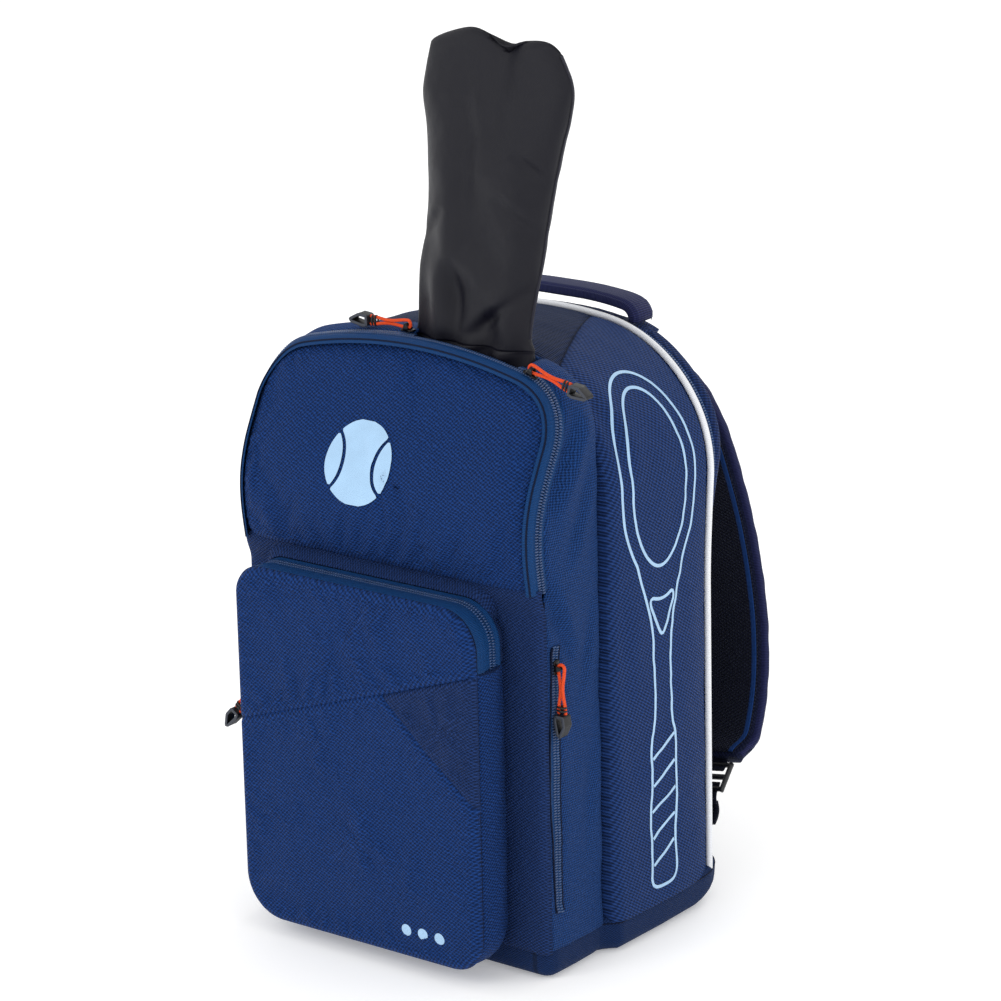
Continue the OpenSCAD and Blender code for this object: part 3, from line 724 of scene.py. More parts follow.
def racket_zip():
    """The racket compartment's zip: a tape and coil on the panel, and their fellows on the sides."""
    reach = RACKET.length(PANEL_FOOT)
    line, across, out = zip_frame(trimmed(-reach, reach), -0.8)
    lying = [[-11.5, -6], [-10, -3.6], [-8.5, -1.6], [-6.5, -0.3], [-4, 0.1], [-0.3, -0.2]]
    front = ribbon("racket_tape_front", line, across, out, lying)
    place(thicken(front, 0.5), TAPE, "racket_panel", "racket_zip_moving")
    place(teeth("racket_teeth_front", line, across, out, -1), COIL, "racket_panel")
    hem = sweep("racket_hem_front", line + across * -10 + out * -3.2, out, circle(0.7, 8))
    place(hem, HEM, "racket_panel")
    t_left, t_right = (float(RACKET.t_of_x(edge)) for edge in MOUTH)
    hidden = [[0.3, -0.2], [2.2, 0.2], [4.6, 0.2], [6.5, 0.5], [8.5, -1.5]]
    backs = []
    rows = []
    for name, a, b in (("right", t_right, reach), ("left", -reach, t_left)):
        line, across, out = zip_frame(trimmed(a, b), -0.8)
        backs.append(ribbon("tape_" + name, line, across, out, hidden))
        rows.append(teeth("teeth_" + name, line, across, out, 1))
    place(thicken(join("racket_tape_back", backs), 0.5), TAPE, "bag", "racket_zip_fixed")
    place(join("racket_teeth_back", rows), COIL)


SIDE_ZIP_Y = -124
SIDE_ZIP_Z = (56, 264)


def gusset_front(z):
    """Depth of the gusset's front edge at a height."""
    upper = racket_zip_y(z) + 6.4
    return np.where(z > PANEL_FOOT, upper, upper + (FRONT_Y + 2 - upper) * smoothstep((PANEL_FOOT - z) / 12))


def gusset_relief(y, z, front, side):
    """How far the gusset stands off its arch: swell, hems, creases and the dip of the side zip."""
    f, g = y - front, GROOVE_Y + 3 - y
    middle = np.clip(4 * f * g / np.maximum(f + g, 1) ** 2, 0, 1)
    swell = (2.2 + 3.2 * np.exp(-((z - 330) / 75) ** 2)) * middle
    out = 0.4 + swell + roll(g, 9, 5.5) + roll(f, 4, 1.8) - 12 * (g < 0.3)
    out = out + fold(y, z, (-86, 440), (-130, 368), 7, 6.0 if side > 0 else 4)
    out = out + fold(y, z, (-134, 316), (-106, 250), 6, 4.5) + fold(y, z, (-76, 400), (-116, 322), 7, 3.0)
    out = out + fold(y, z, (-78, 300), (-96, 215), 6, 2.4) + fold(y, z, (-78, 190), (-92, 80), 7, 2.2)
    out = out + 0.8 * ripple(y, z, 62, 11 + side) + 0.35 * ripple(y * 1.6, z, 24, 4 + side) * middle
    pocket = np.exp(-((y - SIDE_ZIP_Y) / 5.5) ** 2)
    ends = smoothstep((z - SIDE_ZIP_Z[0] + 8) / 12) * smoothstep((SIDE_ZIP_Z[1] + 8 - z) / 12)
    return out - 2.6 * pocket * ends


def racket_gussets():
    """The racket compartment's two sides, which meet over the top, and the lip behind the sleeve's mouth."""
    for side, word, start, rows in ((1, "right", MOUTH[1] + 3, 190), (-1, "left", MOUTH[0] - 3, 230)):
        begin = float(RACKET.t_of_x(start))
        end = side * RACKET.length(RIM)
        t = np.linspace(begin, end, rows)[:, None]
        _, z, _, _ = RACKET.at(t)
        front = gusset_front(z)
        v = ends_dense(44)[None]
        y = front + (GROOVE_Y + 3 - front) * v
        out = gusset_relief(y, z + 0 * y, front, side)
        points = skin(RACKET, t + 0 * y, y, out)
        obj = grid(f"racket_gusset_{word}", points, np.stack([y, t + 0 * y], -1), flip=side < 0)
        place(thicken(obj, 2.5), TWILL, "bag", f"racket_side_{word}")
    strip_t = np.linspace(*(float(RACKET.t_of_x(m)) for m in MOUTH), 30)[:, None]
    y = np.linspace(-75, GROOVE_Y + 2, 8)[None] + 0 * strip_t
    drop = -6 * smoothstep((-69 - y) / 6) + roll(GROOVE_Y + 2 - y, 5, 5)
    lip = grid("mouth_rear_lip", skin(RACKET, strip_t + 0 * y, y, drop), np.stack([y, strip_t + 0 * y], -1))
    place(thicken(lip, 2), TWILL, "bag", "racket_top")


def side_zip(side):
    """Zip of a side pocket: tape that gapes a little, coil, and a corded hem along each edge."""
    z = np.linspace(SIDE_ZIP_Z[1] + 2, SIDE_ZIP_Z[0] - 2, 120)
    front = gusset_front(z)
    y = np.full(len(z), float(SIDE_ZIP_Y))
    out = gusset_relief(y, z, front, side)
    line = np.stack([side * (RACKET.half + out + 0.5), y, z], 1)
    across = np.tile([0, 1.0, 0], (len(z), 1))
    outward = np.tile([side, 0, 0.0], (len(z), 1))
    gape = 1 + 0.9 * np.sin(np.linspace(0, np.pi, len(z))) ** 2
    profile = np.array([[-4.6, 1.0], [-3.4, 0.5], [-2, 0.1], [0, 0], [2, 0.1], [3.6, 0.9]])
    across_scaled = across[:, None] * np.where(profile[None, :, :1] < 0, gape[:, None, None], 1)
    points = line[:, None] + profile[None, :, :1] * across_scaled + profile[None, :, 1:2] * outward[:, None]
    cloth = pair(profile[:, 0], along(line))
    word = "right" if side > 0 else "left"
    cloth_strip = grid(f"side_tape_{word}", points, cloth, flip=side > 0)
    place(thicken(cloth_strip, 0.5), TAPE, "bag", f"side_zip_{word}")
    rows = [teeth(f"row_{s}", line + outward * 0.3, across, outward, s) for s in (-1, 1)]
    place(join(f"side_teeth_{word}", rows), COIL)
    hems = []
    for k, shift in enumerate((-1, 1)):
        edge = line + across * (shift * 4.4 * (gape[:, None] if shift < 0 else 1)) + outward * 0.9
        hems.append(sweep(f"hem_{k}", edge, outward, circle(0.9, 8)))
    place(join(f"side_hems_{word}", hems), HEM)


def lower_front():
    """Plain front below the opening panel, behind the pocket."""
    half = RACKET.half
    edge = np.linspace(100, half, 22)
    x = np.concatenate([-edge[::-1], np.linspace(-95, 95, 30), edge])[None]
    z = np.concatenate([np.linspace(RIM - 2, 290, 70), np.linspace(293, 314, 8)])[:, None]
    d = half - np.abs(x)
    y = FRONT_Y - 1.5 - 1.2 * ripple(x, z, 60, 8) * np.clip(d / 10, 0, 1) - roll(d, 7, 4) + 0 * z
    y = y - 5 * smoothstep((z - 290) / 20)
    points = np.stack(np.broadcast_arrays(x, y, z), -1)
    obj = grid("lower_front_cloth", points, points[..., [0, 2]])
    place(thicken(obj, 2), DARK, "bag", "lower_front_panel")
    for side in (-1, 1):
        zz = np.linspace(RIM, 303, 80)
        line = np.stack([np.full(80, side * 141.0), np.full(80, FRONT_Y + 1.6), zz], 1)
        cord = sweep(f"front_seam_{side + 1}", line, (1, 0, 0), circle(0.9, 8))
        place(cord, HEM)


# ---------- main compartment ----------


TOP_FRONT_HALF, TOP_REAR_HALF = 105, 42


def seam_x(y):
    """Half-width of the ribbed top panel at a depth."""
    s = (np.asarray(y, float) - GROOVE_Y) / (PIPING_Y - GROOVE_Y)
    return TOP_FRONT_HALF + (TOP_REAR_HALF - TOP_FRONT_HALF) * s


def main_relief(y, z, seed):
    """How far the main compartment stands off its arch: swell, rolled edges and creases."""
    f, g = y - GROOVE_Y - 3, PIPING_Y - y
    middle = np.clip(4 * f * g / np.maximum(f + g, 1) ** 2, 0, 1)
    out = 3.4 * middle**0.7 + roll(f, 10, 7) + roll(g, 5, 2.5) - 16 * (f < 0.2)
    out = out + fold(y, z, (-58, 455), (-38, 380), 10, 2.2) + fold(y, z, (-40, 120), (40, 70), 16, 1.6)
    out = out + fold(y, z, (-55, 300), (-46, 200), 9, 1.4) - narrowing(y, z)
    return out + 1.0 * ripple(y, z, 90, seed) + 0.4 * ripple(y, z * 1.4, 30, seed + 1) * middle


def main_gussets():
    """The main compartment's two sides and the ribbed panel between them."""
    y = GROOVE_Y + 3 + (PIPING_Y - GROOVE_Y - 3) * ends_dense(60)[None]
    seam_t = MAIN.t_of_x(seam_x(y))
    for side in (1, -1):
        u = np.linspace(0, 1, 200)[:, None]
        end = MAIN.length(RIM + main_fall(y))
        t = seam_t + (end - seam_t) * u
        _, z, _, _ = MAIN.at(t)
        d = t - seam_t
        out = main_relief(y, z, 21 + side) - 1.6 * np.exp(-(d / 3) ** 2)
        points = skin(MAIN, side * t, y + 0 * t, out, main_fall(y))
        word = "right" if side > 0 else "left"
        obj = grid(f"main_gusset_{word}", points, np.stack([y + 0 * t, -t], -1), flip=side < 0)
        place(thicken(obj, 3), SIDE_TWILL, "bag", f"main_side_{word}")
        line = skin(MAIN, side * seam_t, y, main_relief(y, 480 + 0 * y, 21 + side) - 1.5, main_fall(y))[0]
        cord = sweep(f"top_seam_{word}", line, (0, 0, 1), circle(0.5, 8))
        place(cord, HEM)
    u = np.linspace(-1, 1, 90)[:, None]
    t = seam_t * u
    _, z, _, _ = MAIN.at(t)
    d = seam_t * (1 - np.abs(u))
    out = main_relief(y, z, 31) - 1.6 * np.exp(-(d / 3) ** 2)
    points = skin(MAIN, t, y + 0 * t, out, main_fall(y))
    obj = grid("main_top_cloth", points, np.stack([t, y + 0 * t], -1))
    place(thicken(obj, 3), RIBBED, "bag", "main_top_panel")


def main_surface(y, z, side, lift=0.0):
    """Point on the main compartment's side cloth, with z measured along the cloth above its straight part."""
    t = MAIN.length(0) - (np.asarray(z, float) + main_fall(y))
    _, real_z, _, _ = MAIN.at(t)
    out = main_relief(y, real_z, 21 + side) + lift
    return skin(MAIN, side * t, y, out, main_fall(y))


ZIP_MID = 77.5


def rear_trim():
    """White piping, the main zip and the band behind it."""
    reach = REAR.length(22)
    t = trimmed(-reach, reach, 3)
    _, z, _, _ = REAR.at(t)
    line = skin(REAR, t, np.full(len(t), PIPING_Y + 3.0), 0.6 - narrowing(PIPING_Y + 3, z))
    side = np.tile([0, 1.0, 0], (len(t), 1))
    place(sweep("piping_tube", line, side, circle(2.7)), PIPING, "bag", "rear_piping")
    lip = ribbon("piping_flange", line, side, outward(REAR, t), [[-3, -3], [0, -1.5], [3, -2.5]])
    place(lip, BAND)
    zip_reach = REAR.length(210)
    t = trimmed(-zip_reach, zip_reach, 2.5)
    _, z, _, _ = REAR.at(t)
    line = skin(REAR, t, np.full(len(t), ZIP_MID), -4.0 - narrowing(ZIP_MID, z))
    out = outward(REAR, t)
    across = np.tile([0, 1.0, 0], (len(t), 1))
    strip = ribbon("main_tape", line, across, out, [[-5.5, 0.4], [-3, 0], [0, -0.2], [3, 0], [5.5, 0.4]])
    place(strip, TAPE, "bag", "main_zip_tape")
    rows = [teeth(f"main_row_{s}", line + out * 0.4, across, out, s) for s in (-1, 1)]
    place(join("main_teeth", rows), COIL)
    t = trimmed(-reach, reach, 4)[:, None]
    _, z, _, _ = REAR.at(t)
    low = smoothstep((214 - z) / 8)
    start = 83 - 10 * low
    v = ends_dense(20)[None]
    y = start + (BACK_Y + 1 - start) * v
    f, g = y - start, BACK_Y + 1 - y
    out = -7.5 + 4 * np.clip(4 * f * g / (f + g) ** 2, 0, 1) ** 0.6 + roll(f, 4, 3) + roll(g, 5, 5) + 3 * low
    out = out + 0.5 * ripple(t, y * 2, 40, 9) - narrowing(y, z)
    band = grid("rear_band_cloth", skin(REAR, t + 0 * y, y, out), np.stack([y, t + 0 * y], -1))
    place(thicken(band, 2), BAND, "bag", "rear_band")


def base():
    """Plain cloth base: rounded underneath, lifting at the rear."""
    r_front, r_rear = 12, 40
    quarter = np.radians(np.linspace(0, 90, 9))
    x_front, y_front = RACKET.half - r_front, FRONT_Y + r_front
    x_rear, y_rear = MAIN.half - r_rear, BACK_Y - r_rear
    right = [(x_front + r_front * math.sin(a), y_front - r_front * math.cos(a)) for a in quarter]
    right += [(142.5, -100), (142, -76), (141, GROOVE_Y - 3)]
    right += [(145, GROOVE_Y + 2), (152, GROOVE_Y + 9), (153, 0)]
    right += [(x_rear + r_rear * math.cos(a), y_rear + r_rear * math.sin(a)) for a in quarter]
    path = np.array(right + [(-x, y) for x, y in right[::-1]], float)
    path = dense(path, 4)
    run = tangents(path, True)
    normal = np.stack([run[:, 1], -run[:, 0]], 1)
    turn = np.radians(np.linspace(0, 90, 8))
    levels = [(-10 + 10 * math.sin(a), 10 - 10 * math.cos(a)) for a in turn]
    levels += [(0.2, 15), (0.3, 20), (0.1, 24), (-0.8, 26.5), (-2.5, 28), (-6, 28.6)]
    rings = []
    for out, z in levels:
        p = path + normal * (out + 0.8)
        lift = 20 * smoothstep((p[:, 1] - 44) / 62) * max(0, 1 - z / 30)
        rings.append(np.column_stack([p, z + lift]))
    rings = np.array(rings)
    wall = grid("base_wall", rings, pair(round_trip(path), [level for _, level in levels]), wrap=True)
    shares = np.array([1, 0.97, 0.9, 0.75, 0.5, 0.25, 0.0])
    centre = np.array([0, -20.0])
    floor = []
    for k in shares:
        p = centre + (rings[0][:, :2] - centre) * k
        floor.append(np.column_stack([p, 20 * smoothstep((p[:, 1] - 44) / 62)]))
    floor = np.array(floor)
    under = disc("base_floor", floor, floor[..., :2], flip=True)
    obj = join("base_cloth", [wall, under])
    place(obj, BASE, "bag", "base_tray")
    sideways = np.column_stack([normal, np.zeros(len(normal))])
    place(sweep("base_seam", rings[-4], sideways, circle(0.6, 6), closed=True), HEM)


def inside():
    """Divider between the two compartments and the side pockets' linings."""
    t = np.linspace(-RACKET.length(RIM), RACKET.length(RIM), 90)
    x, z, nx, nz = RACKET.at(t)
    outline = dense(np.stack([x - 6 * nx, z - 6 * nz], 1), 8)
    flat = rings_of(outline, np.array([0.0, 260.0]), 16, 1.2)
    y = GROOVE_Y + 1.5 + 1.2 * ripple(flat[..., 0], flat[..., 1], 80, 2)
    wall = disc("divider_cloth", np.stack([flat[..., 0], y, flat[..., 1]], -1), flat)
    place(thicken(wall, 2), LINING, "bag", "divider")
    linings = []
    for side in (-1, 1):
        y = np.linspace(FRONT_Y + 8, GROOVE_Y - 6, 20)[None]
        z = np.linspace(40, 274, 60)[:, None]
        x = side * (127 + 1.2 * ripple(y, z, 40, 6 + side)) + 0 * y
        points = np.stack(np.broadcast_arrays(x, y, z), -1)
        linings.append(grid(f"lining_{side}", points, points[..., [1, 2]], flip=side < 0))
    place(join("pocket_linings", linings), LINING, "bag", "side_linings")


# ---------- front pocket ----------

POCKET_Y = -182
POCKET_MID, POCKET_HALF, POCKET_FOOT, POCKET_TOP = -4.5, 114.5, 14, 299.5
SEAM_LEFT, SEAM_RIGHT = 176, 254
INSET = np.array([[26, 222], [116, 254], [116, 142]], float)
POCKET_ZIP_Y = -157.6


def pocket_outline(off=0.0, step=3.0):
    """Rounded outline of the pocket, from the middle of its foot anticlockwise."""
    points = [(POCKET_MID, POCKET_FOOT + off)]
    for cx, cz, a0, r in ((1, 0, -90, 26), (1, 1, 0, 31), (-1, 1, 90, 22), (-1, 0, 180, 34)):
        x = POCKET_MID + cx * (POCKET_HALF - r)
        z = POCKET_TOP - r if cz else POCKET_FOOT + r
        for a in np.linspace(a0, a0 + 90, 16):
            turn = math.radians(a)
            points.append((x + (r - off) * math.cos(turn), z + (r - off) * math.sin(turn)))
    return respace(np.vstack([points, points[:1]]), step)[:-1]


POCKET_EDGE = pocket_outline(0, 2.0)


def seam_z(x):
    """Height of the pocket's sloping seam."""
    return (SEAM_LEFT + SEAM_RIGHT) / 2 + (SEAM_RIGHT - SEAM_LEFT) / 232 * np.asarray(x)


def inset_distance(x, z):
    """Distance to the two sewn edges of the corner inset."""
    a, b, c = INSET[0], INSET[1], INSET[2]
    best = np.full(np.shape(x), 1e9)
    for p, q in ((a, b), (a, c)):
        run = q - p
        s = np.clip(((x - p[0]) * run[0] + (z - p[1]) * run[1]) / (run @ run), 0, 1)
        best = np.minimum(best, np.hypot(x - p[0] - s * run[0], z - p[1] - s * run[1]))
    return best


def pocket_depth_at(x, z):
    """Depth of the pocket's padded face."""
    d = to_outline(x, z, POCKET_EDGE)
    puff = 3.5 * (1 - np.exp(-d / 26))
    seam = 2.4 * np.exp(-((z - seam_z(x)) / 1.7) ** 2)
    inset = 1.7 * np.exp(-(inset_distance(x, z) / 1.6) ** 2)
    slack = 0.8 * ripple(x, z, 75, 13) + 0.35 * ripple(x, z, 28, 15)
    sag = 2.0 * np.exp(-((z - 70) / 60) ** 2) * (1 - np.exp(-d / 30))
    slack = slack * np.clip(d / 15, 0, 1) - fold(x, z, (-95, 262), (-40, 284), 8, 1.1)
    slack = slack - fold(x, z, (60, 60), (105, 90), 9, 1.0) - fold(x, z, (-104, 40), (-66, 66), 9, 1.2)
    return POCKET_Y - puff - sag + seam + inset - slack - roll(d, 5, 3.6)


def convex_cut(outline, a, b):
    """Part of a closed outline to the left of the line from a to b."""
    a, b = np.asarray(a, float), np.asarray(b, float)
    run = b - a
    side = (outline[:, 1] - a[1]) * run[0] - (outline[:, 0] - a[0]) * run[1]
    kept = []
    for k in range(len(outline)):
        p, q = outline[k - 1], outline[k]
        if (side[k - 1] > 0) != (side[k] > 0):
            kept.append(p + (q - p) * side[k - 1] / (side[k - 1] - side[k]))
        if side[k] > 0:
            kept.append(q)
    return np.array(kept)


def pocket_piece(name, outline, material, body, nodes, count=30):
    """Padded piece of the pocket's face inside an outline."""
    outline = dense(outline, 2.5)
    flat = rings_of(outline, outline.mean(0), count, 1.4)
    x, z = flat[..., 0], flat[..., 1]
    obj = disc(name, np.stack([x, pocket_depth_at(x, z), z], -1), flat)
    near = np.append(to_outline(x[:-1], z[:-1], outline).ravel(), 99)
    settle(obj, 1 - smoothstep((near - 2) / 6), 0.03, 2.5, 1.8)
    thicken(obj, 2)
    return place(obj, material, body, nodes)


def pocket():
    """The front pocket: face in three pieces, gusset, zip and the stitches along its seams."""
    outline = pocket_outline(0, 2.0)
    left, right = (-200, float(seam_z(-200))), (200, float(seam_z(200)))
    flap = convex_cut(outline, left, right)
    pocket_piece("pocket_flap_cloth", flap, DOBBY, "pocket_flap", "pocket_flap", 26)
    low = convex_cut(outline, right, left)
    inset_a, inset_c = INSET[0], INSET[2]
    beyond = inset_c + (inset_c - inset_a)
    before = inset_a - (inset_c - inset_a) * 2
    pocket_piece("pocket_lower_cloth", convex_cut(low, beyond, before), DOBBY, "bag", "pocket_face_lower")
    pocket_piece("pocket_inset_cloth", convex_cut(low, before, beyond), DARK, "bag", "pocket_inset", 18)
    pocket_gussets()
    pocket_zip()
    across_face = np.linspace(-113, 113, 90)
    down_inset = np.linspace(115, 26, 90)
    inset_edge = np.interp(down_inset, INSET[[0, 2], 0], INSET[[0, 2], 1])
    seams = ((across_face, seam_z(across_face), 3.0, "pocket_flap"), (down_inset, inset_edge, 2.6, "bag"))
    for k, (x, z, beside, body) in enumerate(seams):
        run = unit(np.stack([np.gradient(x), 0 * x, np.gradient(z)], 1))
        across = np.stack([-run[:, 2], 0 * x, run[:, 0]], 1)
        spot = np.stack([x, 0 * x, z], 1) + across * beside
        spot[:, 1] = pocket_depth_at(spot[:, 0], spot[:, 2]) - 0.25
        stitch(f"pocket_stitch_{k}", spot, np.tile([0, -1.0, 0], (len(x), 1)), body)


def stitch(name, line, out, body, length=2.6, gap=1.3):
    """Run of thread: a short block for each stitch, half sunk in the cloth."""
    step = length + gap
    line, out = respace(line, step, out)
    run = tangents(line)
    side = np.cross(out, run)
    obj = many(name, (0.55, 0.45, length), line, unit(side), unit(out), run, 0.8)
    return place(obj, THREAD, body)


def pocket_ring(off=0.0, step=2.5):
    """Points round the pocket from the seam's right end over the top to its left end, then round the foot."""
    outline = pocket_outline(off, step)
    normal = unit(np.stack([tangents(outline, True)[:, 1], -tangents(outline, True)[:, 0]], 1))
    above = outline[:, 1] > seam_z(outline[:, 0])
    start = int(np.argmax(above & ~np.roll(above, 1)))
    outline, normal, above = (np.roll(q, -start, 0) for q in (outline, normal, above))
    upper = int(above.sum())
    return outline, normal, upper


def shrink(x, z, y):
    """How far the pocket's cloth leans out behind its zip: up to the panel at the top, in at the sides."""
    back = smoothstep((y + 158) / 22)
    right = smoothstep((x - 40) / 70)
    top = smoothstep((z - 286) / 12)
    return back * (12 * top - (2 + 4 * right) * (1 - top))


def pocket_gussets():
    """The pocket's gusset below its seam, the edge behind its zip and the sewn cords round its face."""
    outline, normal, upper = pocket_ring()
    n = len(outline)
    s = round_trip(outline)

    def strip(name, pick, y0, y1, hem0, hem1, rolled, material, body, nodes=(), wave=1.0):
        """Strip of the gusset over some of the outline's points, from depth y0 to y1."""
        v = ends_dense(18)[None]
        y = y0 + (y1 - y0) * v
        width = y1 - y0
        middle = 4 * v * (1 - v)
        x, z = outline[pick, 0][:, None], outline[pick, 1][:, None]
        out = 1.6 * wave * middle + 0.6 * wave * ripple(s[pick][:, None], y * 2, 60, 17) * middle
        out = out + roll(width * v, rolled, rolled * 0.65) - hem1 * np.exp(-width * (1 - v) / 1.5)
        out = out - hem0 * np.exp(-width * v / 1.5)
        bottom = smoothstep((60 - z) / 40)
        out = out - 1.5 * bottom * v + shrink(x, z, y)
        nx, nz = normal[pick, 0][:, None], normal[pick, 1][:, None]
        points = np.stack([x + nx * out, y + 0 * x, z + nz * out], -1)
        obj = grid(name, points, np.stack([y + 0 * x, s[pick][:, None] + 0 * y], -1), flip=True)
        thicken(obj, 2)
        return place(obj, material, body, nodes)

    top = np.arange(0, upper + 1) % n
    bottom = np.arange(upper - 1, n + 1) % n
    strip("pocket_rear_edge", top, POCKET_ZIP_Y + 7.4, FRONT_Y + 1, 0.8, 0, 1, DARK, "bag")
    front, rear = POCKET_Y + 4.5, FRONT_Y + 1
    strip("pocket_gusset_cloth", bottom, front, rear, 0, 0, 5, DOBBY, "bag", "pocket_gusset", 1.6)
    for k, (pick, body) in enumerate(((top, "pocket_flap"), (bottom, "bag"))):
        line = np.column_stack([outline[pick, 0], np.full(len(pick), POCKET_Y + 4.4), outline[pick, 1]])
        out = np.column_stack([normal[pick, 0], 0 * pick, normal[pick, 1]])
        cord = sweep(f"pocket_edge_seam_{k}", line + out * 0.1, out, circle(0.8, 8))
        place(cord, HEM, body)
    line = np.column_stack([outline[bottom, 0], np.full(len(bottom), POCKET_Y + 15.0), outline[bottom, 1]])
    out = np.column_stack([normal[bottom, 0], 0 * bottom, normal[bottom, 1]])
    place(sweep("pocket_gusset_seam", line + out * 0.9, out, circle(0.6, 8)), HEM)


def pocket_zip():
    """The pocket's zip, with a wide tape on the flap and a narrow one behind."""
    outline, normal, upper = pocket_ring()
    pick = np.arange(0, upper)
    line = np.column_stack([outline[pick, 0], np.full(upper, POCKET_ZIP_Y), outline[pick, 1]])
    out = np.column_stack([normal[pick, 0], np.zeros(upper), normal[pick, 1]])
    lean_in = shrink(outline[pick, 0], outline[pick, 1], np.full(upper, POCKET_ZIP_Y))
    line = line + out * (lean_in[:, None] - 0.6)
    across = np.tile([0, 1.0, 0], (upper, 1))
    swell = [[-21.5, -0.4], [-18, 0.9], [-13, 1.5], [-8, 1.2], [-5, 0.5], [-2, 0], [-0.3, -0.4]]
    front = ribbon("pocket_tape_front", line, across, out, swell)
    rise = [[0.3, -0.4], [2, 0], [4.8, 0.3], [6.5, 1.3], [8.2, 1.5]]
    back = ribbon("pocket_tape_back", line, across, out, rise)
    place(thicken(front, 0.5), TAPE, "pocket_flap", "pocket_zip_moving")
    place(thicken(back, 0.5), TAPE, "bag", "pocket_zip_fixed")
    place(teeth("pocket_teeth_front", line, across, out, -1), COIL, "pocket_flap")
    place(teeth("pocket_teeth_back", line, across, out, 1), COIL)


# ---------- prints ----------


def print_strokes(name, strokes, surface, width=2.7):
    """Flat film lines of a width. Each stroke is a plan of points that surface() lays on the cloth."""
    pieces = []
    for k, (plan, closed) in enumerate(strokes):
        plan = eased(plan, closed)
        if closed:
            plan = np.vstack([plan, plan[:1]])
        plan = respace(plan, 2.0)
        if closed:
            plan = plan[:-1]
        run = tangents(plan, closed)
        side = np.stack([-run[:, 1], run[:, 0]], 1) * width / 2
        rows = [plan + side * share for share in (-1, -0.5, 0, 0.5, 1)]
        points = np.stack([surface(p[:, 0], p[:, 1]) for p in rows], 1)
        if closed:
            points = np.vstack([points, points[:1]])
        pieces.append(grid(f"{name}_{k}", points, points[..., [1, 2]]))
    return join(name, pieces) if len(pieces) > 1 else pieces[0]


def eased(path, closed, times=3):
    """Path with its corners cut until they are round."""
    path = np.asarray(path, float)
    for _ in range(times if len(path) > 2 else 0):
        ahead = np.roll(path, -1, 0) if closed else path[1:]
        start = path if closed else path[:-1]
        path = np.stack([0.75 * start + 0.25 * ahead, 0.25 * start + 0.75 * ahead], 1).reshape(-1, 2)
    return path


def oval(cx, cz, rx, rz, n=90, a0=0, a1=360):
    """Points on an oval, or on the part of it between two angles in degrees."""
    a = np.radians(np.linspace(a0, a1, n, endpoint=a1 - a0 < 360))
    return np.stack([cx + rx * np.cos(a), cz + rz * np.sin(a)], 1)


def side_picture():
    """Strokes of a tall racket: outline, inside of the head, throat and the grip's wrap."""
    mid, head_z, rx, rz = -3, 370, 48, 84
    turn = np.radians(40)
    join_x, join_z = rx * math.sin(turn), head_z - rz * math.cos(turn)
    left = oval(mid, head_z, rx, rz, 70, -90 + 40, 270 - 40)
    neck = [(mid - 14, 258), (mid - 11, 236), (mid - 11, 172)]
    grip_l = [(mid - 16, 162), (mid - 16, 150), (mid - 16, 60), (mid - 17, 44), (mid - 10, 38)]
    outline = [*left, (mid - join_x + 4, join_z - 12), *neck, *grip_l]
    mirror = [(2 * mid - y, z) for y, z in outline[len(left):][::-1]]
    outline = np.array(outline + mirror)
    inner = oval(mid, head_z, rx - 13, rz - 14)
    throat = np.array([(-19, 279), (0, 272), (19, 279), (6, 252), (0, 243), (-6, 252)]) + [mid, 0]
    strokes = [(outline, True), (inner, True), (throat, True)]
    for k in range(5):
        z = 58 + 22 * k
        strokes.append(([(mid - 14, z), (mid + 14, z + 14)], False))
    return strokes


def prints():
    """Printed film: a racket on each side, a ball on the panel and dots on the pocket."""
    for side, word in ((1, "right"), (-1, "left")):
        film_piece = print_strokes(f"side_print_{word}", side_picture(),
                                   lambda y, z: main_surface(y, z, side, 0.35))
        if side > 0:
            film_piece.data.flip_normals()
        place(film_piece, PRINT, "bag", "side_prints" if side > 0 else ())
    emblem()
    dots = []
    for k in range(3):
        ring = np.array([oval(42 + 16 * k, 36, r, r, 30) for r in (5, 4.6, 3.5, 2, 0)])
        y = pocket_depth_at(ring[..., 0], ring[..., 1]) - np.array([0.1, 0.35, 0.4, 0.4, 0.4])[:, None]
        dots.append(disc(f"dot_{k}", np.stack([ring[..., 0], y, ring[..., 1]], -1), ring))
    place(join("pocket_dots", dots), PRINT, "bag", "pocket_mark")


def emblem():
    """Tennis ball: a disc parted by two curved seams."""
    cx, cz, r = -21, 388, 31
    seam_r, seam_x0, gap = 27.5, 42, 1.7
    lift = 0.8
    cloth = bpy.data.objects["racket_panel_cloth"]
    height = np.linspace(-r + 0.6, r - 0.6, 36)
    edge = np.sqrt(r * r - height**2)
    inside_seam = np.abs(height) < seam_r - 0.1
    curve = seam_x0 - np.sqrt(seam_r**2 - np.minimum(height**2, (seam_r - 0.1) ** 2))
    curve = np.where(inside_seam, curve, 99)
    beyond = curve + gap < edge
    spans = ((-edge, np.where(beyond, -curve - gap, -edge)),
             (np.maximum(-edge, gap - curve), np.minimum(edge, curve - gap)),
             (np.where(beyond, curve + gap, edge), edge))
    objs = []
    for k, (a, b) in enumerate(spans):
        keep = b - a > 0.3
        a, b = a[keep], b[keep]
        x = cx + a[:, None] + (b - a)[:, None] * np.linspace(0, 1, 24)[None]
        z = cz + height[keep][:, None] + 0 * x
        y = np.array([front_of(cloth, px, pz) for px, pz in zip(x.ravel(), z.ravel())])
        y = y.reshape(x.shape) - lift
        objs.append(grid(f"emblem_{k}", np.stack([x, y, z], -1), np.stack([x, z], -1), flip=True))
    obj = join("panel_ball_print", objs)
    place(obj, PRINT, "racket_panel", "panel_emblem")


def front_of(obj, x, z):
    """Depth where a line along +Y first meets an object."""
    hit, where, _, _ = obj.ray_cast(Vector((x * MM, -0.4, z * MM)), Vector((0, 1, 0)))
    return where.y / MM if hit else 0.0


# ---------- back ----------


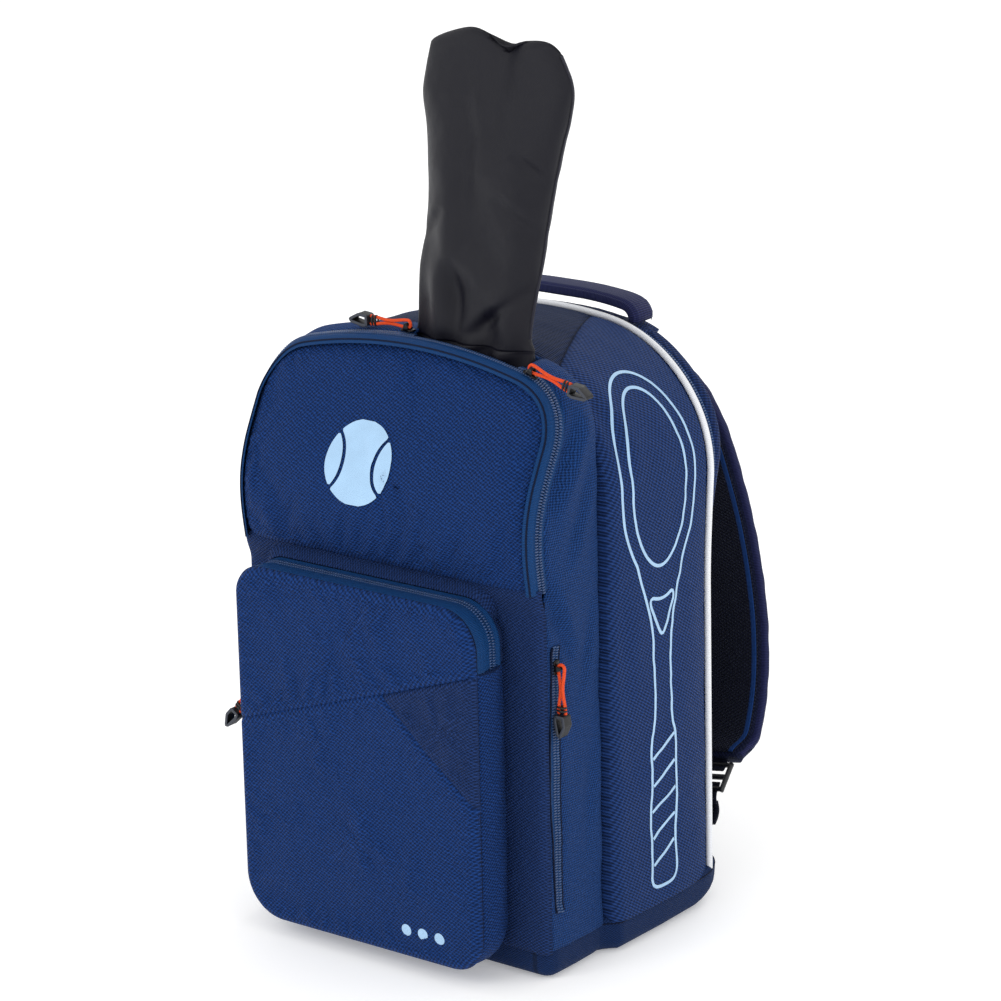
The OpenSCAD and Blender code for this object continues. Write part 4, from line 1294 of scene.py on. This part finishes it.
def back():
    """Mesh back panel and three padded mesh cushions."""
    t = np.linspace(-REAR.length(30), REAR.length(30), 150)
    x, z, nx, nz = REAR.at(t)
    x = x - np.sign(x) * np.minimum(narrowing(BACK_Y, z), np.abs(x) * 0.5)
    outline = dense(np.stack([x - 9 * nx, z - 9 * nz], 1), 4)
    flat = rings_of(outline, np.array([0.0, 240.0]), 34, 1.5)
    d = to_outline(flat[..., 0], flat[..., 1], outline)
    y = BACK_Y - 5 + 3.5 * (1 - np.exp(-d / 10)) + 0.8 * ripple(flat[..., 0], flat[..., 1], 60, 7)
    obj = disc("back_cloth", np.stack([flat[..., 0], y, flat[..., 1]], -1), flat, flip=True)
    place(thicken(obj, 2), AIR_MESH, "bag", "back_panel")
    edge = np.stack([x - 9 * nx, np.full(len(x), BACK_Y - 3.0), z - 9 * nz], 1)
    cord = sweep("back_edge_binding", edge, np.stack([nx, 0 * nx, nz], 1), flat_strip(7, 2.2, 5))
    place(cord, BINDING)
    places = (("left", -66, 150, -16, 385, 18), ("right", 16, 150, 66, 385, 18),
              ("lumbar", -84, 56, 84, 128, 24))
    for word, x0, z0, x1, z1, r in places:
        pad(f"back_pad_{word}", x0, z0, x1, z1, r, "back_pads" if word == "lumbar" else ())


def pad(name, x0, z0, x1, z1, r, nodes):
    """Stuffed cushion: a lens of cloth, swollen by simulation and held at its seam."""
    w, h = x1 - x0, z1 - z0
    outline = rounded(w, h, r, 8) + [(x0 + x1) / 2, (z0 + z1) / 2]
    outline = dense(outline, 5)
    flat = rings_of(outline, np.array([(x0 + x1) / 2, (z0 + z1) / 2]), 16, 1.3)
    d = to_outline(flat[..., 0], flat[..., 1], outline)
    front = BACK_Y - 2 + 8.5 * np.sqrt(np.clip(1 - (1 - np.clip(d / 14, 0, 1)) ** 2, 0, 1))
    top = disc("pad_top", np.stack([flat[..., 0], front, flat[..., 1]], -1), flat, flip=True)
    under = disc("pad_under", np.stack([flat[..., 0], 0 * d + BACK_Y - 4, flat[..., 1]], -1), flat)
    obj = join(name, [top, under])
    weld(obj)
    modify(obj, "REMESH", mode="VOXEL", voxel_size=5 * MM, use_smooth_shade=True)
    points = corners(obj.data) / MM
    near = to_outline(points[:, 0], points[:, 2], outline)
    held = (1 - smoothstep((near - 1) / 6)) + (points[:, 1] < BACK_Y - 1)
    settle(obj, np.clip(held, 0, 1), 0.05, 4.0, 4.0)
    modify(obj, "SUBSURF", levels=1, render_levels=1)
    cloth_layer(obj)
    place(obj, AIR_MESH, "bag", nodes)
    line = np.column_stack([outline[:, 0], np.full(len(outline), BACK_Y - 1.2), outline[:, 1]])
    run = tangents(line, True)
    side = np.cross(run, [0, 1.0, 0])
    piping = sweep(name + "_binding", line, side, circle(1.5, 8), closed=True)
    place(piping, BINDING)


def weld(obj):
    """Merges the points of a mesh that lie on each other."""
    modify(obj, "WELD", merge_threshold=0.0005)


def cloth_layer(obj):
    """Fabric coordinates of a remeshed pad, from its width and height."""
    mesh = obj.data
    old = mesh.attributes.get("cloth")
    if old is not None:
        mesh.attributes.remove(old)
    set_cloth(mesh, corners(mesh)[:, [0, 2]])
    mesh.shade_smooth()


# ---------- handle ----------


def handle():
    """Padded grab handle on two feet, bound along both edges."""
    half = [(73, 462), (72.5, 468), (64, 474.5), (34, 478.2), (0, 478.8)]
    path = spline([(-x, z) for x, z in half] + half[-2::-1], 80)
    line = respace(np.column_stack([path[:, 0], np.full(len(path), 89.0), path[:, 1]]), 4)
    n = len(line)
    side = np.tile([0, 1.0, 0], (n, 1))
    swell = 1 + 0.05 * ripple(along(line), 0 * line[:, 0], 40, 3)
    section = rounded(24, 9.4, 4, 4)[None] * np.stack([np.ones(n), swell], 1)[:, None]
    body = sweep("grab_handle_cloth", line, side, section)
    place(body, BINDING, "grab_handle", "grab_handle")
    run = tangents(line)
    out = np.cross(run, side)
    for k in (-1, 1):
        edge = sweep(f"handle_binding_{k + 1}", line + side * k * 11.6, side, rounded(2.6, 6.2, 1.2, 3))
        place(edge, BINDING, "grab_handle")
        stitch(f"handle_stitch_{k + 1}", line + side * k * 9.0 + out * -4.3, -out, "grab_handle")
        stitch(f"handle_stitch_low_{k + 1}", line + side * k * 9.0 + out * 4.3, out, "grab_handle")
    anchors = []
    for s in (-1, 1):
        x = np.linspace(s * 72 - 13, s * 72 + 13, 9)
        t = REAR.t_of_x(x)
        line = skin(REAR, t, np.full(9, 89.0), np.full(9, -4.6))
        anchors.append(sweep(f"anchor_{s}", line, (0, 1, 0), flat_strip(20, 2.4)))
    place(join("handle_anchor_patches", anchors), BAND, "bag", "handle_anchors")


# ---------- straps ----------

STRAP_X, STRAP_LEAN, STRAP_TOP = 62, math.radians(9.2), 430
STRAP_PATH = [[108, 424], [118, 414.5], [139, 391], [157, 355], [168, 312], [174.5, 271], [176.4, 230],
              [173.5, 188], [162.5, 144], [143.5, 108], [125.5, 90]]
LOCK = (113, 79, math.radians(41))
WEB_WIDTH = 25


def lean(points, side):
    """Leans a strap's points outwards about its top and puts them on one side of the bag."""
    p = np.array(points, float)
    x, z = p[..., 0].copy(), p[..., 2] - STRAP_TOP
    c, s = math.cos(STRAP_LEAN), math.sin(STRAP_LEAN)
    p[..., 0] = side * (STRAP_X + x * c - z * s)
    p[..., 2] = STRAP_TOP + x * s + z * c
    return p


def strap_sheet(name, line, section, side):
    """Tube along the strap's side line. section(s) gives the ring at a share of its length."""
    run = tangents(line)
    out = np.stack([-run[:, 1], run[:, 0]], 1)
    rows = []
    for k, (p, o) in enumerate(zip(line, out)):
        ring = section(k / (len(line) - 1))
        rows.append(np.column_stack([ring[:, 0], p[0] + o[0] * ring[:, 1], p[1] + o[1] * ring[:, 1]]))
    points = lean(np.array(rows), side)
    faces = tube_faces(*points.shape[:2])
    if side < 0:
        faces = [f[::-1] for f in faces]
    return make_mesh(name, points, faces, pair(along(section(0.5)), along(line)))


STRAP_HALF = 33
STRAP_SECTION = dense(rounded(2 * STRAP_HALF, 9.6, 4.2, 4), 3)


def strap_width(share):
    """Half-width of a strap at a share of its length: a little narrower at the top, tapered at the lock."""
    return STRAP_HALF - 1.5 * smoothstep((0.06 - share) / 0.06) - 9 * smoothstep((share - 0.93) / 0.07) ** 2


def pad_ring(share, length, side):
    """Section of the strap's padding, crowned and unevenly filled."""
    w = strap_width(share)
    ring = STRAP_SECTION * [w / STRAP_HALF, 1]
    crown = 1.4 * (1 - (ring[:, 0] / w) ** 2)
    filling = 0.5 * ripple(ring[:, 0], 0 * ring[:, 0] + share * length, 34, 5 + side)
    quilt = filling * (1 - (ring[:, 0] / w) ** 4)
    return np.column_stack([ring[:, 0], ring[:, 1] + np.sign(ring[:, 1]) * (crown * 0.6 + quilt)])


def layer_ring(x, y, below, above):
    """Section of a thin layer that follows y across x."""
    return np.vstack([np.column_stack([x, y - below]), np.column_stack([x[::-1], y[::-1] + above])])


def lining_ring(share):
    """Section of the mesh lining on the strap's inner side."""
    w = strap_width(share) - 5
    x = np.linspace(-w, w, 16)
    return layer_ring(x, -5.9 - 0.9 * (1 - (x / w) ** 2), 0.7, 0.9)


def stripe_ring(share):
    """Section of the blue stripe beside the lining's edge."""
    x0 = strap_width(share) - 10
    x = np.linspace(x0, x0 + 4.5, 4)
    return layer_ring(x, -6.9 + 0.02 * x, 0.5, 0.6)


def edge_ring(share, length, k):
    """Section of the binding sewn round one edge, slightly puckered by its stitches."""
    s = share * length
    wave = 0.45 * math.sin(s / 5.5) + 0.3 * math.sin(s / 3.1 + 1)
    ring = rounded(7.5, 7.2 + 0.5 * wave, 3.2, 4)
    return ring + [k * (strap_width(share) - 1.6 + 0.35 * wave), -0.6]


def strap(side):
    """Padded shoulder strap: body, mesh lining, stripe and bindings, then the parts at its foot."""
    word = "right" if side > 0 else "left"
    body = f"strap_{word}"
    line = respace(spline(STRAP_PATH, 160), 3.5)
    length = along(line)[-1]
    top_end = lean([[0, 100, 430]], side)[0] * MM
    below = lean([[0, 128, 404]], side)[0] * MM
    layers = (("padding", lambda share: pad_ring(share, length, side), STRAP_CLOTH, f"strap_pad_{word}"),
              ("lining", lining_ring, STRAP_MESH, f"strap_lining_{word}"),
              ("stripe", stripe_ring, STRIPE, None),
              ("binding_0", lambda share: edge_ring(share, length, -1), BINDING, None),
              ("binding_2", lambda share: edge_ring(share, length, 1), BINDING, None))
    for layer, ring, material, node in layers:
        inner = layer != "padding"
        obj = strap_sheet(f"strap_{word}_{layer}", line[2:-1] if inner else line, ring, side)
        dress(obj, material)
        if node:
            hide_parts(node)
        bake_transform(obj)
    strap_ends(side, word, body)


def strap_ends(side, word, body):
    """Ladder lock, its webbing, the sewn root and the tab at the bag's corner."""
    y, z, angle = LOCK
    c, s = math.cos(angle), math.sin(angle)

    def local(points):
        """Points of the lock turned and moved to its place on the strap."""
        p = np.asarray(points, float)
        along_y, along_z = p[..., 1] * c - p[..., 2] * s, p[..., 1] * s + p[..., 2] * c
        return lean(np.stack([p[..., 0], y + along_y, z + along_z], -1), side)

    bars = []
    for k, (cy, half) in enumerate(((-11.2, 1.8), (0, 2.2), (11.2, 1.8))):
        line = np.column_stack([np.linspace(-18.4, 18.4, 14), np.full(14, cy), np.zeros(14)])
        bars.append(sweep(f"bar_{k}", line, (0, 1, 0), rounded(2 * half, 4, 1.4, 3)))
    for k in (-1, 1):
        line = np.column_stack([np.full(10, k * 17.2), np.linspace(-13, 13, 10), np.zeros(10)])
        bars.append(sweep(f"rail_{k}", line, (1, 0, 0), rounded(3.6, 4.4, 1.6, 3)))
    lock = join(f"strap_{word}_lock", bars)
    reshape(lock, local, side)
    place(lock, BUCKLE, body, f"strap_lock_{word}")
    upper = [(126, 91.5), (122, 87.5), (118.5, 84.6), (116, 83.4)]
    lower = [(110, 75.5), (107, 72.2), (103.6, 69.4), (101.8, 66), (101.3, 63), (101.2, 60)]
    parts = []
    for k, knots in enumerate((upper, lower)):
        line = spline(knots, 24)
        parts.append(strap_sheet(f"web_{k}", line, lambda share: flat_strip(WEB_WIDTH, 1.5, 8), side))
    webbing = join(f"strap_{word}_webbing", parts)
    place(webbing, WEBBING, body, f"strap_web_{word}")
    root_line = spline([(BACK_Y - 6, 432), (101, 429.5), (106, 425), (112, 419.5), (118, 414)], 20)
    root = strap_sheet(f"strap_{word}_root", root_line,
                       lambda share: flat_strip(62 - 2 * share, 6.5 + 3.4 * share, 14), side)
    place(root, STRAP_CLOTH, "bag", "strap_roots" if side > 0 else ())
    tab_line = spline([(BACK_Y - 4, 46), (99, 50), (102.6, 55), (103.4, 62)], 14)
    tab = strap_sheet(f"strap_{word}_tab", tab_line, lambda share: flat_strip(28 - 4 * share, 2.2, 8), side)
    place(tab, WEBBING, "bag", "strap_tabs" if side > 0 else ())


def reshape(obj, move, side):
    """Moves a mesh's points through move(), in millimetres."""
    mesh = obj.data
    mesh.vertices.foreach_set("co", (move(corners(mesh) / MM) * MM).ravel())
    if side < 0:
        mesh.flip_normals()
    mesh.update()


# ---------- handle sleeve ----------

SLEEVE_LEFT = [[-12, 478], [-9, 490], [-6, 531], [1, 566], [3, 603], [2, 640], [-1, 663], [2, 685], [6, 700]]
SLEEVE_RIGHT = [[99, 478], [96, 490], [103, 525], [108, 553], [115, 591], [125, 632], [132, 654], [136, 676],
                [133, 692], [127, 700]]
SLEEVE_TOP = [[2, 697], [10, 705], [27, 712], [45, 716], [60, 713], [78, 706], [94, 710], [111, 711],
              [122, 707], [132, 697]]


def sleeve():
    """Tall thin cloth cover for two racket handles, gathered where it leaves the bag."""
    rows, cols = 150, 96
    w = np.linspace(0, 1, rows)[:, None]
    a = np.linspace(0, 2 * np.pi, cols, endpoint=False)[None]
    left, right, top = (spline(k, 200) for k in (SLEEVE_LEFT, SLEEVE_RIGHT, SLEEVE_TOP))
    level = 478 + (700 - 478) * w
    x0 = np.interp(level, left[:, 1], left[:, 0])
    x1 = np.interp(level, right[:, 1], right[:, 0])
    side = np.cos(a)
    spread = np.sign(side) * np.abs(side) ** 0.85
    x = (x0 + x1) / 2 + (x1 - x0) / 2 * spread
    crest = np.interp(x, top[:, 0], top[:, 1])
    near_top = smoothstep((w - 0.82) / 0.18)
    z = level + near_top * (crest - 700) * w
    thick = np.interp(w, [0, 0.1, 0.25, 0.6, 0.85, 0.95, 0.985, 1.0], [11, 13, 17, 19, 15, 9, 5, 0.7])
    y_mid = -84 + 4 * smoothstep(w * 1.5)
    bulk = np.abs(np.sin(a)) ** 0.8 * np.sign(np.sin(a))
    s = x - x0
    folds = 2.6 * np.sin(s / 9 + 2.2 * w + 0.8) * np.exp(-((w - 0.35) / 0.42) ** 2)
    folds = folds + 2.6 * np.sin(s / 5.2 - 3.0 * w) * smoothstep((0.5 - w) / 0.45)
    folds = folds + 1.0 * ripple(x, z, 60, 6) + 0.45 * ripple(x, z * 0.5, 24, 16)
    diagonal = (s - (x1 - x0)) * 0.8 + (z - 500) * 0.75
    folds = folds + 3.6 * np.sin(diagonal / 8.5) * np.exp(-((w - 0.2) / 0.16) ** 2) * smoothstep(s / 50)
    inward = x - x1
    creases = ((inward, (-34, 628), (2, 606), 5, 3.2), (inward, (-40, 596), (2, 562), 6, 4.0),
               (inward, (-52, 482), (0, 528), 5, 4.2), (s, (0, 552), (26, 582), 5, 2.6),
               (s, (52, 690), (40, 560), 9, 2.6), (s, (36, 545), (48, 486), 6, 3.2))
    for across, start, end, width, depth in creases:
        folds = folds - fold(across, z, start, end, width, depth)
    valley = np.exp(-((x - 78) / 13) ** 2) * smoothstep((w - 0.55) / 0.4)
    front = np.where(np.sin(a) < 0, 1.0, 0.75)
    share = np.sign(bulk) * np.abs(np.sin(a)) ** 0.6 * front * (1 - 0.9 * near_top)
    y = y_mid + bulk * (thick - 5.5 * valley) - share * folds
    points = np.stack(np.broadcast_arrays(x, y, z), -1)
    cloth = np.stack(np.broadcast_arrays(along(points[rows // 2])[None], z), -1)
    obj = grid("handle_sleeve_cloth", points, cloth, wrap=True)
    obj.data.flip_normals()
    weld(obj)
    thicken(obj, 0.7)
    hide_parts("handle_sleeve")
    edge = points[6:, 1] + [0, -1.2, 0]
    trim = sweep("sleeve_seam", edge, (0, 1, 0), rounded(2.6, 1.6, 0.7, 3))
    for piece, material in ((obj, SLEEVE), (trim, SEAM_TRIM)):
        dress(piece, material)
        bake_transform(piece)
    collar(points[0])


def collar(ring):
    """Cloth that spreads from the foot of the sleeve to the edges of the mouth."""
    rows = []
    centre = ring.mean(0)
    for k, share in enumerate(np.linspace(0, 1, 12)):
        x = ring[:, 0] - np.clip((ring[:, 0] - 45) * 0.05, -2, 2) * share
        y_front = np.where(ring[:, 1] < centre[1], -2.0, 2.0)
        y = ring[:, 1] + y_front * share
        _, arch_z, _, _ = RACKET.at(RACKET.t_of_x(x))
        z = ring[:, 2] * (1 - smoothstep(share)) + (arch_z - 14) * smoothstep(share)
        pleat = 1.6 * math.sin(math.pi * share) * np.sin(ring[:, 0] / 5.5 + k * 0.3)
        rows.append(np.column_stack([x, y + pleat * np.sign(ring[:, 1] - centre[1]), z]))
    points = np.array(rows)
    obj = grid("sleeve_collar_cloth", points, pair(round_trip(ring), np.linspace(0, 14, 12)), wrap=True)
    place(thicken(obj, 0.7), SLEEVE, "bag", "sleeve_collar")


# ---------- sliders and pulls ----------


BAR = 6.6
LOOP = 2.9
PULL = 36


def slider(name, matrix, body, node):
    """Slider in a frame where the zip runs along X, its pull lies along +X and +Z is outward."""
    line = np.array([[x, 0, 1.9] for x in (-6, -4.6, 0, 4.6, 6)])
    sizes = ((0.6, 0.7), (0.95, 1), (0.8, 1.1), (0.9, 1), (0.5, 0.7))
    section = np.array([rounded(7.2 * wide, 1.5 * high, 0.6, 3) for wide, high in sizes])
    parts = [sweep("slider_body", line, (0, 1, 0), section)]
    for s in (-1, 1):
        line = np.array([[0, s * 2.75, 1.8], [0.2, s * 2.75, 4], [0, s * 2.75, 7.4]])
        parts.append(sweep(f"cheek_{s}", line, (1, 0, 0),
                           np.array([rounded(k, 1.3, 0.5, 3) for k in (5.2, 4.6, 2.8)])))
    line = np.array([[0, -2.9, BAR], [0, 0, BAR + 0.1], [0, 2.9, BAR]])
    parts.append(sweep("bar", line, (1, 0, 0), circle(1.0, 10)))
    obj = join(name, parts)
    reshape(obj, lambda p: apply_matrix(matrix, p), np.linalg.det(matrix[:3, :3]))
    place(obj, SLIDER, body, node)


def apply_matrix(matrix, points):
    """Points turned and moved by a 4 x 4 matrix."""
    return np.asarray(points) @ matrix[:3, :3].T + matrix[:3, 3]


def pull(name, matrix, turn, body, nodes):
    """Doubled cord round the slider's bar, ending in a folded pendant."""
    c, s = math.cos(math.radians(turn)), math.sin(math.radians(turn))

    def out(p):
        """Points of the pull turned about the bar and moved to the slider."""
        p = np.asarray(p, float)
        turned = np.stack([p[..., 0] * c + p[..., 2] * s, p[..., 1], BAR + p[..., 2] * c - p[..., 0] * s], -1)
        return apply_matrix(matrix, turned)

    a = np.radians(np.linspace(-90, 90, 11) + 180)
    bend = [(LOOP * math.cos(q), 0, -LOOP * math.sin(q)) for q in a]
    x = np.linspace(PULL, 0, 16)[:-1]
    pinch = 1 - 0.58 * np.sin(np.pi * x / PULL) ** 2
    upper = [(q, 0.5 * math.sin(q / 7), -LOOP * p) for q, p in zip(x, pinch)]
    lower = [(q, -0.5 * math.sin(q / 7), LOOP * p) for q, p in zip(x, pinch)][::-1]
    path = out(np.array(upper + bend + lower))
    side = matrix[:3, 1]
    cord = sweep(name + "_cord", path, side, circle(1.3, 12))
    place(cord, CORD, body, nodes[0])
    wraps = []
    for k in range(2):
        at = 30.5 + 2.7 * k
        ring = np.array([[at, 2.2 * math.cos(q), 3.6 * math.sin(q)] for q in
                         np.linspace(0, 2 * np.pi, 16, endpoint=False)])
        forward = out([1, 0, 0]) - out([0, 0, 0])
        wraps.append(sweep(f"wrap_{k}", out(ring), forward, circle(0.9, 6), closed=True))
    wrap = place(join(name + "_wrap", wraps), RUBBER, body)
    outer = np.array([(0, -4.4), (5, -5), (17, -2), (19, 0.5), (9, 5.4), (0, 4.4)])
    inner = np.array([(3, -2.4), (5, -2.8), (15, -0.8), (15.4, 0.2), (8.4, 3.4), (3, 2.4)])
    outer = dense(outer, 1.2)
    mid = 0.5 * (outer + nearest(inner, outer))
    line = np.column_stack([PULL + mid[:, 0], 0 * mid[:, 0], mid[:, 1]])
    band = sweep(name + "_pendant", out(line), side, rounded(9, 2.0, 0.7, 3), closed=True)
    place(band, RUBBER, body, nodes[1])
    for k in (-1, 1):
        rim_line = line + [0, k * 4.3, 0]
        edge = sweep(f"{name}_rim_{k + 1}", out(rim_line), side, rounded(0.7, 2.3, 0.3, 2), closed=True)
        place(edge, RUBBER_EDGE, body)


def nearest(points, to):
    """Point of a closed outline nearest to each of some points."""
    fine = dense(points, 0.4)
    far = np.linalg.norm(to[:, None] - fine[None], axis=2)
    return fine[far.argmin(1)]


def frame_matrix(origin, x, y, z):
    """Matrix of a frame with its origin and axes."""
    m = np.eye(4)
    m[:3, :3] = np.stack([x, y, z], 1)
    m[:3, 3] = origin
    return m


FLANK_R, FLANK_Y, FLANK_Z = 246, 111, 345


def flank_y(z):
    """Depth of the racket zip's sliders, which run on one arc, at a height."""
    return FLANK_Y - math.sqrt(FLANK_R**2 - (z - FLANK_Z) ** 2)


def slider_frame(x, y, z, tilt, side):
    """Frame of a slider on an arch that falls away to a side by a tilt."""
    c, s = math.cos(tilt), math.sin(tilt)
    return frame_matrix((x, y, z), (side * c, 0, -s), (0, 1, 0), (side * s, 0, c))


def pulls():
    """Places each slider and pull as its CAD nodes are placed."""
    up = math.radians(68)
    arch_z = RACKET.cz + RACKET.corner * math.sin(up)
    arch_x = RACKET.half - RACKET.corner * (1 - math.cos(up))
    right = slider_frame(arch_x, flank_y(arch_z), arch_z, math.pi / 2 - up, 1)
    left_x = 12
    left_z = RACKET.top - RACKET.crown + math.sqrt(RACKET.crown**2 - left_x**2)
    left = slider_frame(-left_x, flank_y(left_z), left_z, math.asin(left_x / RACKET.crown), -1)
    side_r = frame_matrix((142, SIDE_ZIP_Y, 250), (0, 0, -1), (0, 1, 0), (1, 0, 0))
    side_l = frame_matrix((-142, SIDE_ZIP_Y, 250), (0, 0, -1), (0, 1, 0), (-1, 0, 0))
    front = frame_matrix((-116.6, POCKET_ZIP_Y, 199), (0, 0, -1), (0, 1, 0), (-1, 0, 0))
    sets = (("racket", "right", right, -6), ("racket", "left", left, 1), ("side", "right", side_r, 0),
            ("side", "left", side_l, 0))
    for kind, word, matrix, turn in sets:
        slider(f"{kind}_zip_slider_{word}", matrix, f"{kind}_slider_{word}", f"{kind}_slider_{word}")
        pull(f"{kind}_pull_{word}", matrix, turn, f"{kind}_pull_{word}",
             (f"{kind}_cord_{word}", f"{kind}_tab_{word}"))
    slider("pocket_zip_slider", front, "pocket_slider", "pocket_slider")
    pull("pocket_pull_front", front, -35, "pocket_pull", ("pocket_cord", "pocket_tab"))
    up = math.radians(60)
    r = 109
    arch_x = MAIN.half - MAIN.corner + r * math.cos(up)
    arch_z = 70 + math.sqrt(288**2 - 40**2) + r * math.sin(up)
    main = slider_frame(-arch_x, (ZIP_Y + BAND_Y) / 2, arch_z, math.pi / 2 - up, -1)
    slider("main_zip_slider", main, "main_slider", "main_slider")
    line = np.array([[2.0, 0, 0], [3, 0, 0], [10, 0, 0], [20, 0, 0], [23.4, 0, 0]])
    section = np.array([rounded(3.2 * k, 1.5, 0.5, 3) for k in (1, 1, 0.9, 1, 0.6)])
    tab = sweep("blade", line, (0, 1, 0), section)
    turns = np.linspace(0, 2 * np.pi, 14, endpoint=False)
    ring = np.stack([2.0 * np.cos(turns), 0 * turns, 2.0 * np.sin(turns)], 1)
    eye = sweep("eye", ring, (0, 1, 0), rounded(3.0, 1.2, 0.4, 2), closed=True)
    blade = join("main_pull_tab", [tab, eye])
    shift = main @ frame_matrix((0, 0, BAR), (1, 0, 0), (0, 1, 0), (0, 0, 1))
    reshape(blade, lambda p: apply_matrix(shift, p), np.linalg.det(shift[:3, :3]))
    place(blade, SLIDER, "main_pull", "main_tab")


racket_panel()
racket_zip()
racket_gussets()
side_zip(1)
side_zip(-1)
lower_front()
main_gussets()
rear_trim()
base()
inside()
pocket()
prints()
back()
handle()
strap(1)
strap(-1)
sleeve()
pulls()


# ---------- studio ----------


def area_light(name, place_at, aim, size, power):
    """Round soft light at a place, aimed at a point."""
    data = bpy.data.lights.new(name, "AREA")
    data.shape = "DISK"
    data.size = size
    data.energy = power
    obj = bpy.data.objects.new(name, data)
    obj.location = place_at
    obj.rotation_mode = "QUATERNION"
    obj.rotation_quaternion = (Vector(aim) - Vector(place_at)).to_track_quat("-Z", "Y")
    scene.collection.objects.link(obj)


def studio():
    """White floor and surround, a large key light and two soft fills."""
    world = bpy.data.worlds.new("studio")
    world.use_nodes = True
    world.node_tree.nodes["Background"].inputs["Color"].default_value = (1, 1, 1, 1)
    world.node_tree.nodes["Background"].inputs["Strength"].default_value = 0.85
    scene.world = world
    g = Graph("floor")
    tone = g.ramp(g.noise(400, 2), [(0, (0.93, 0.93, 0.93, 1)), (1, (0.97, 0.97, 0.97, 1))])
    paper = g.finish(tone, g.bump(g.noise(2, 2), 0.05, 0.2), 0.9)
    g.shader.inputs["Emission Color"].default_value = (1, 1, 1, 1)
    g.shader.inputs["Emission Strength"].default_value = 0.25
    floor = make_mesh("floor", [[-9000, -9000, -1], [9000, -9000, -1], [9000, 9000, -1], [-9000, 9000, -1]],
                      [(0, 1, 2, 3)])
    floor.data.materials.append(paper)
    area_light("key", (-0.6, -3.2, 2.6), (0, 0, 0.3), 2.0, 34)
    area_light("fill", (3.4, -0.6, 1.6), (0, 0, 0.3), 2.0, 16)
    area_light("rim", (-0.5, 3.0, 2.4), (0, 0, 0.4), 1.6, 22)
    scene.view_settings.view_transform = "Standard"
    scene.view_settings.look = "None"


studio()
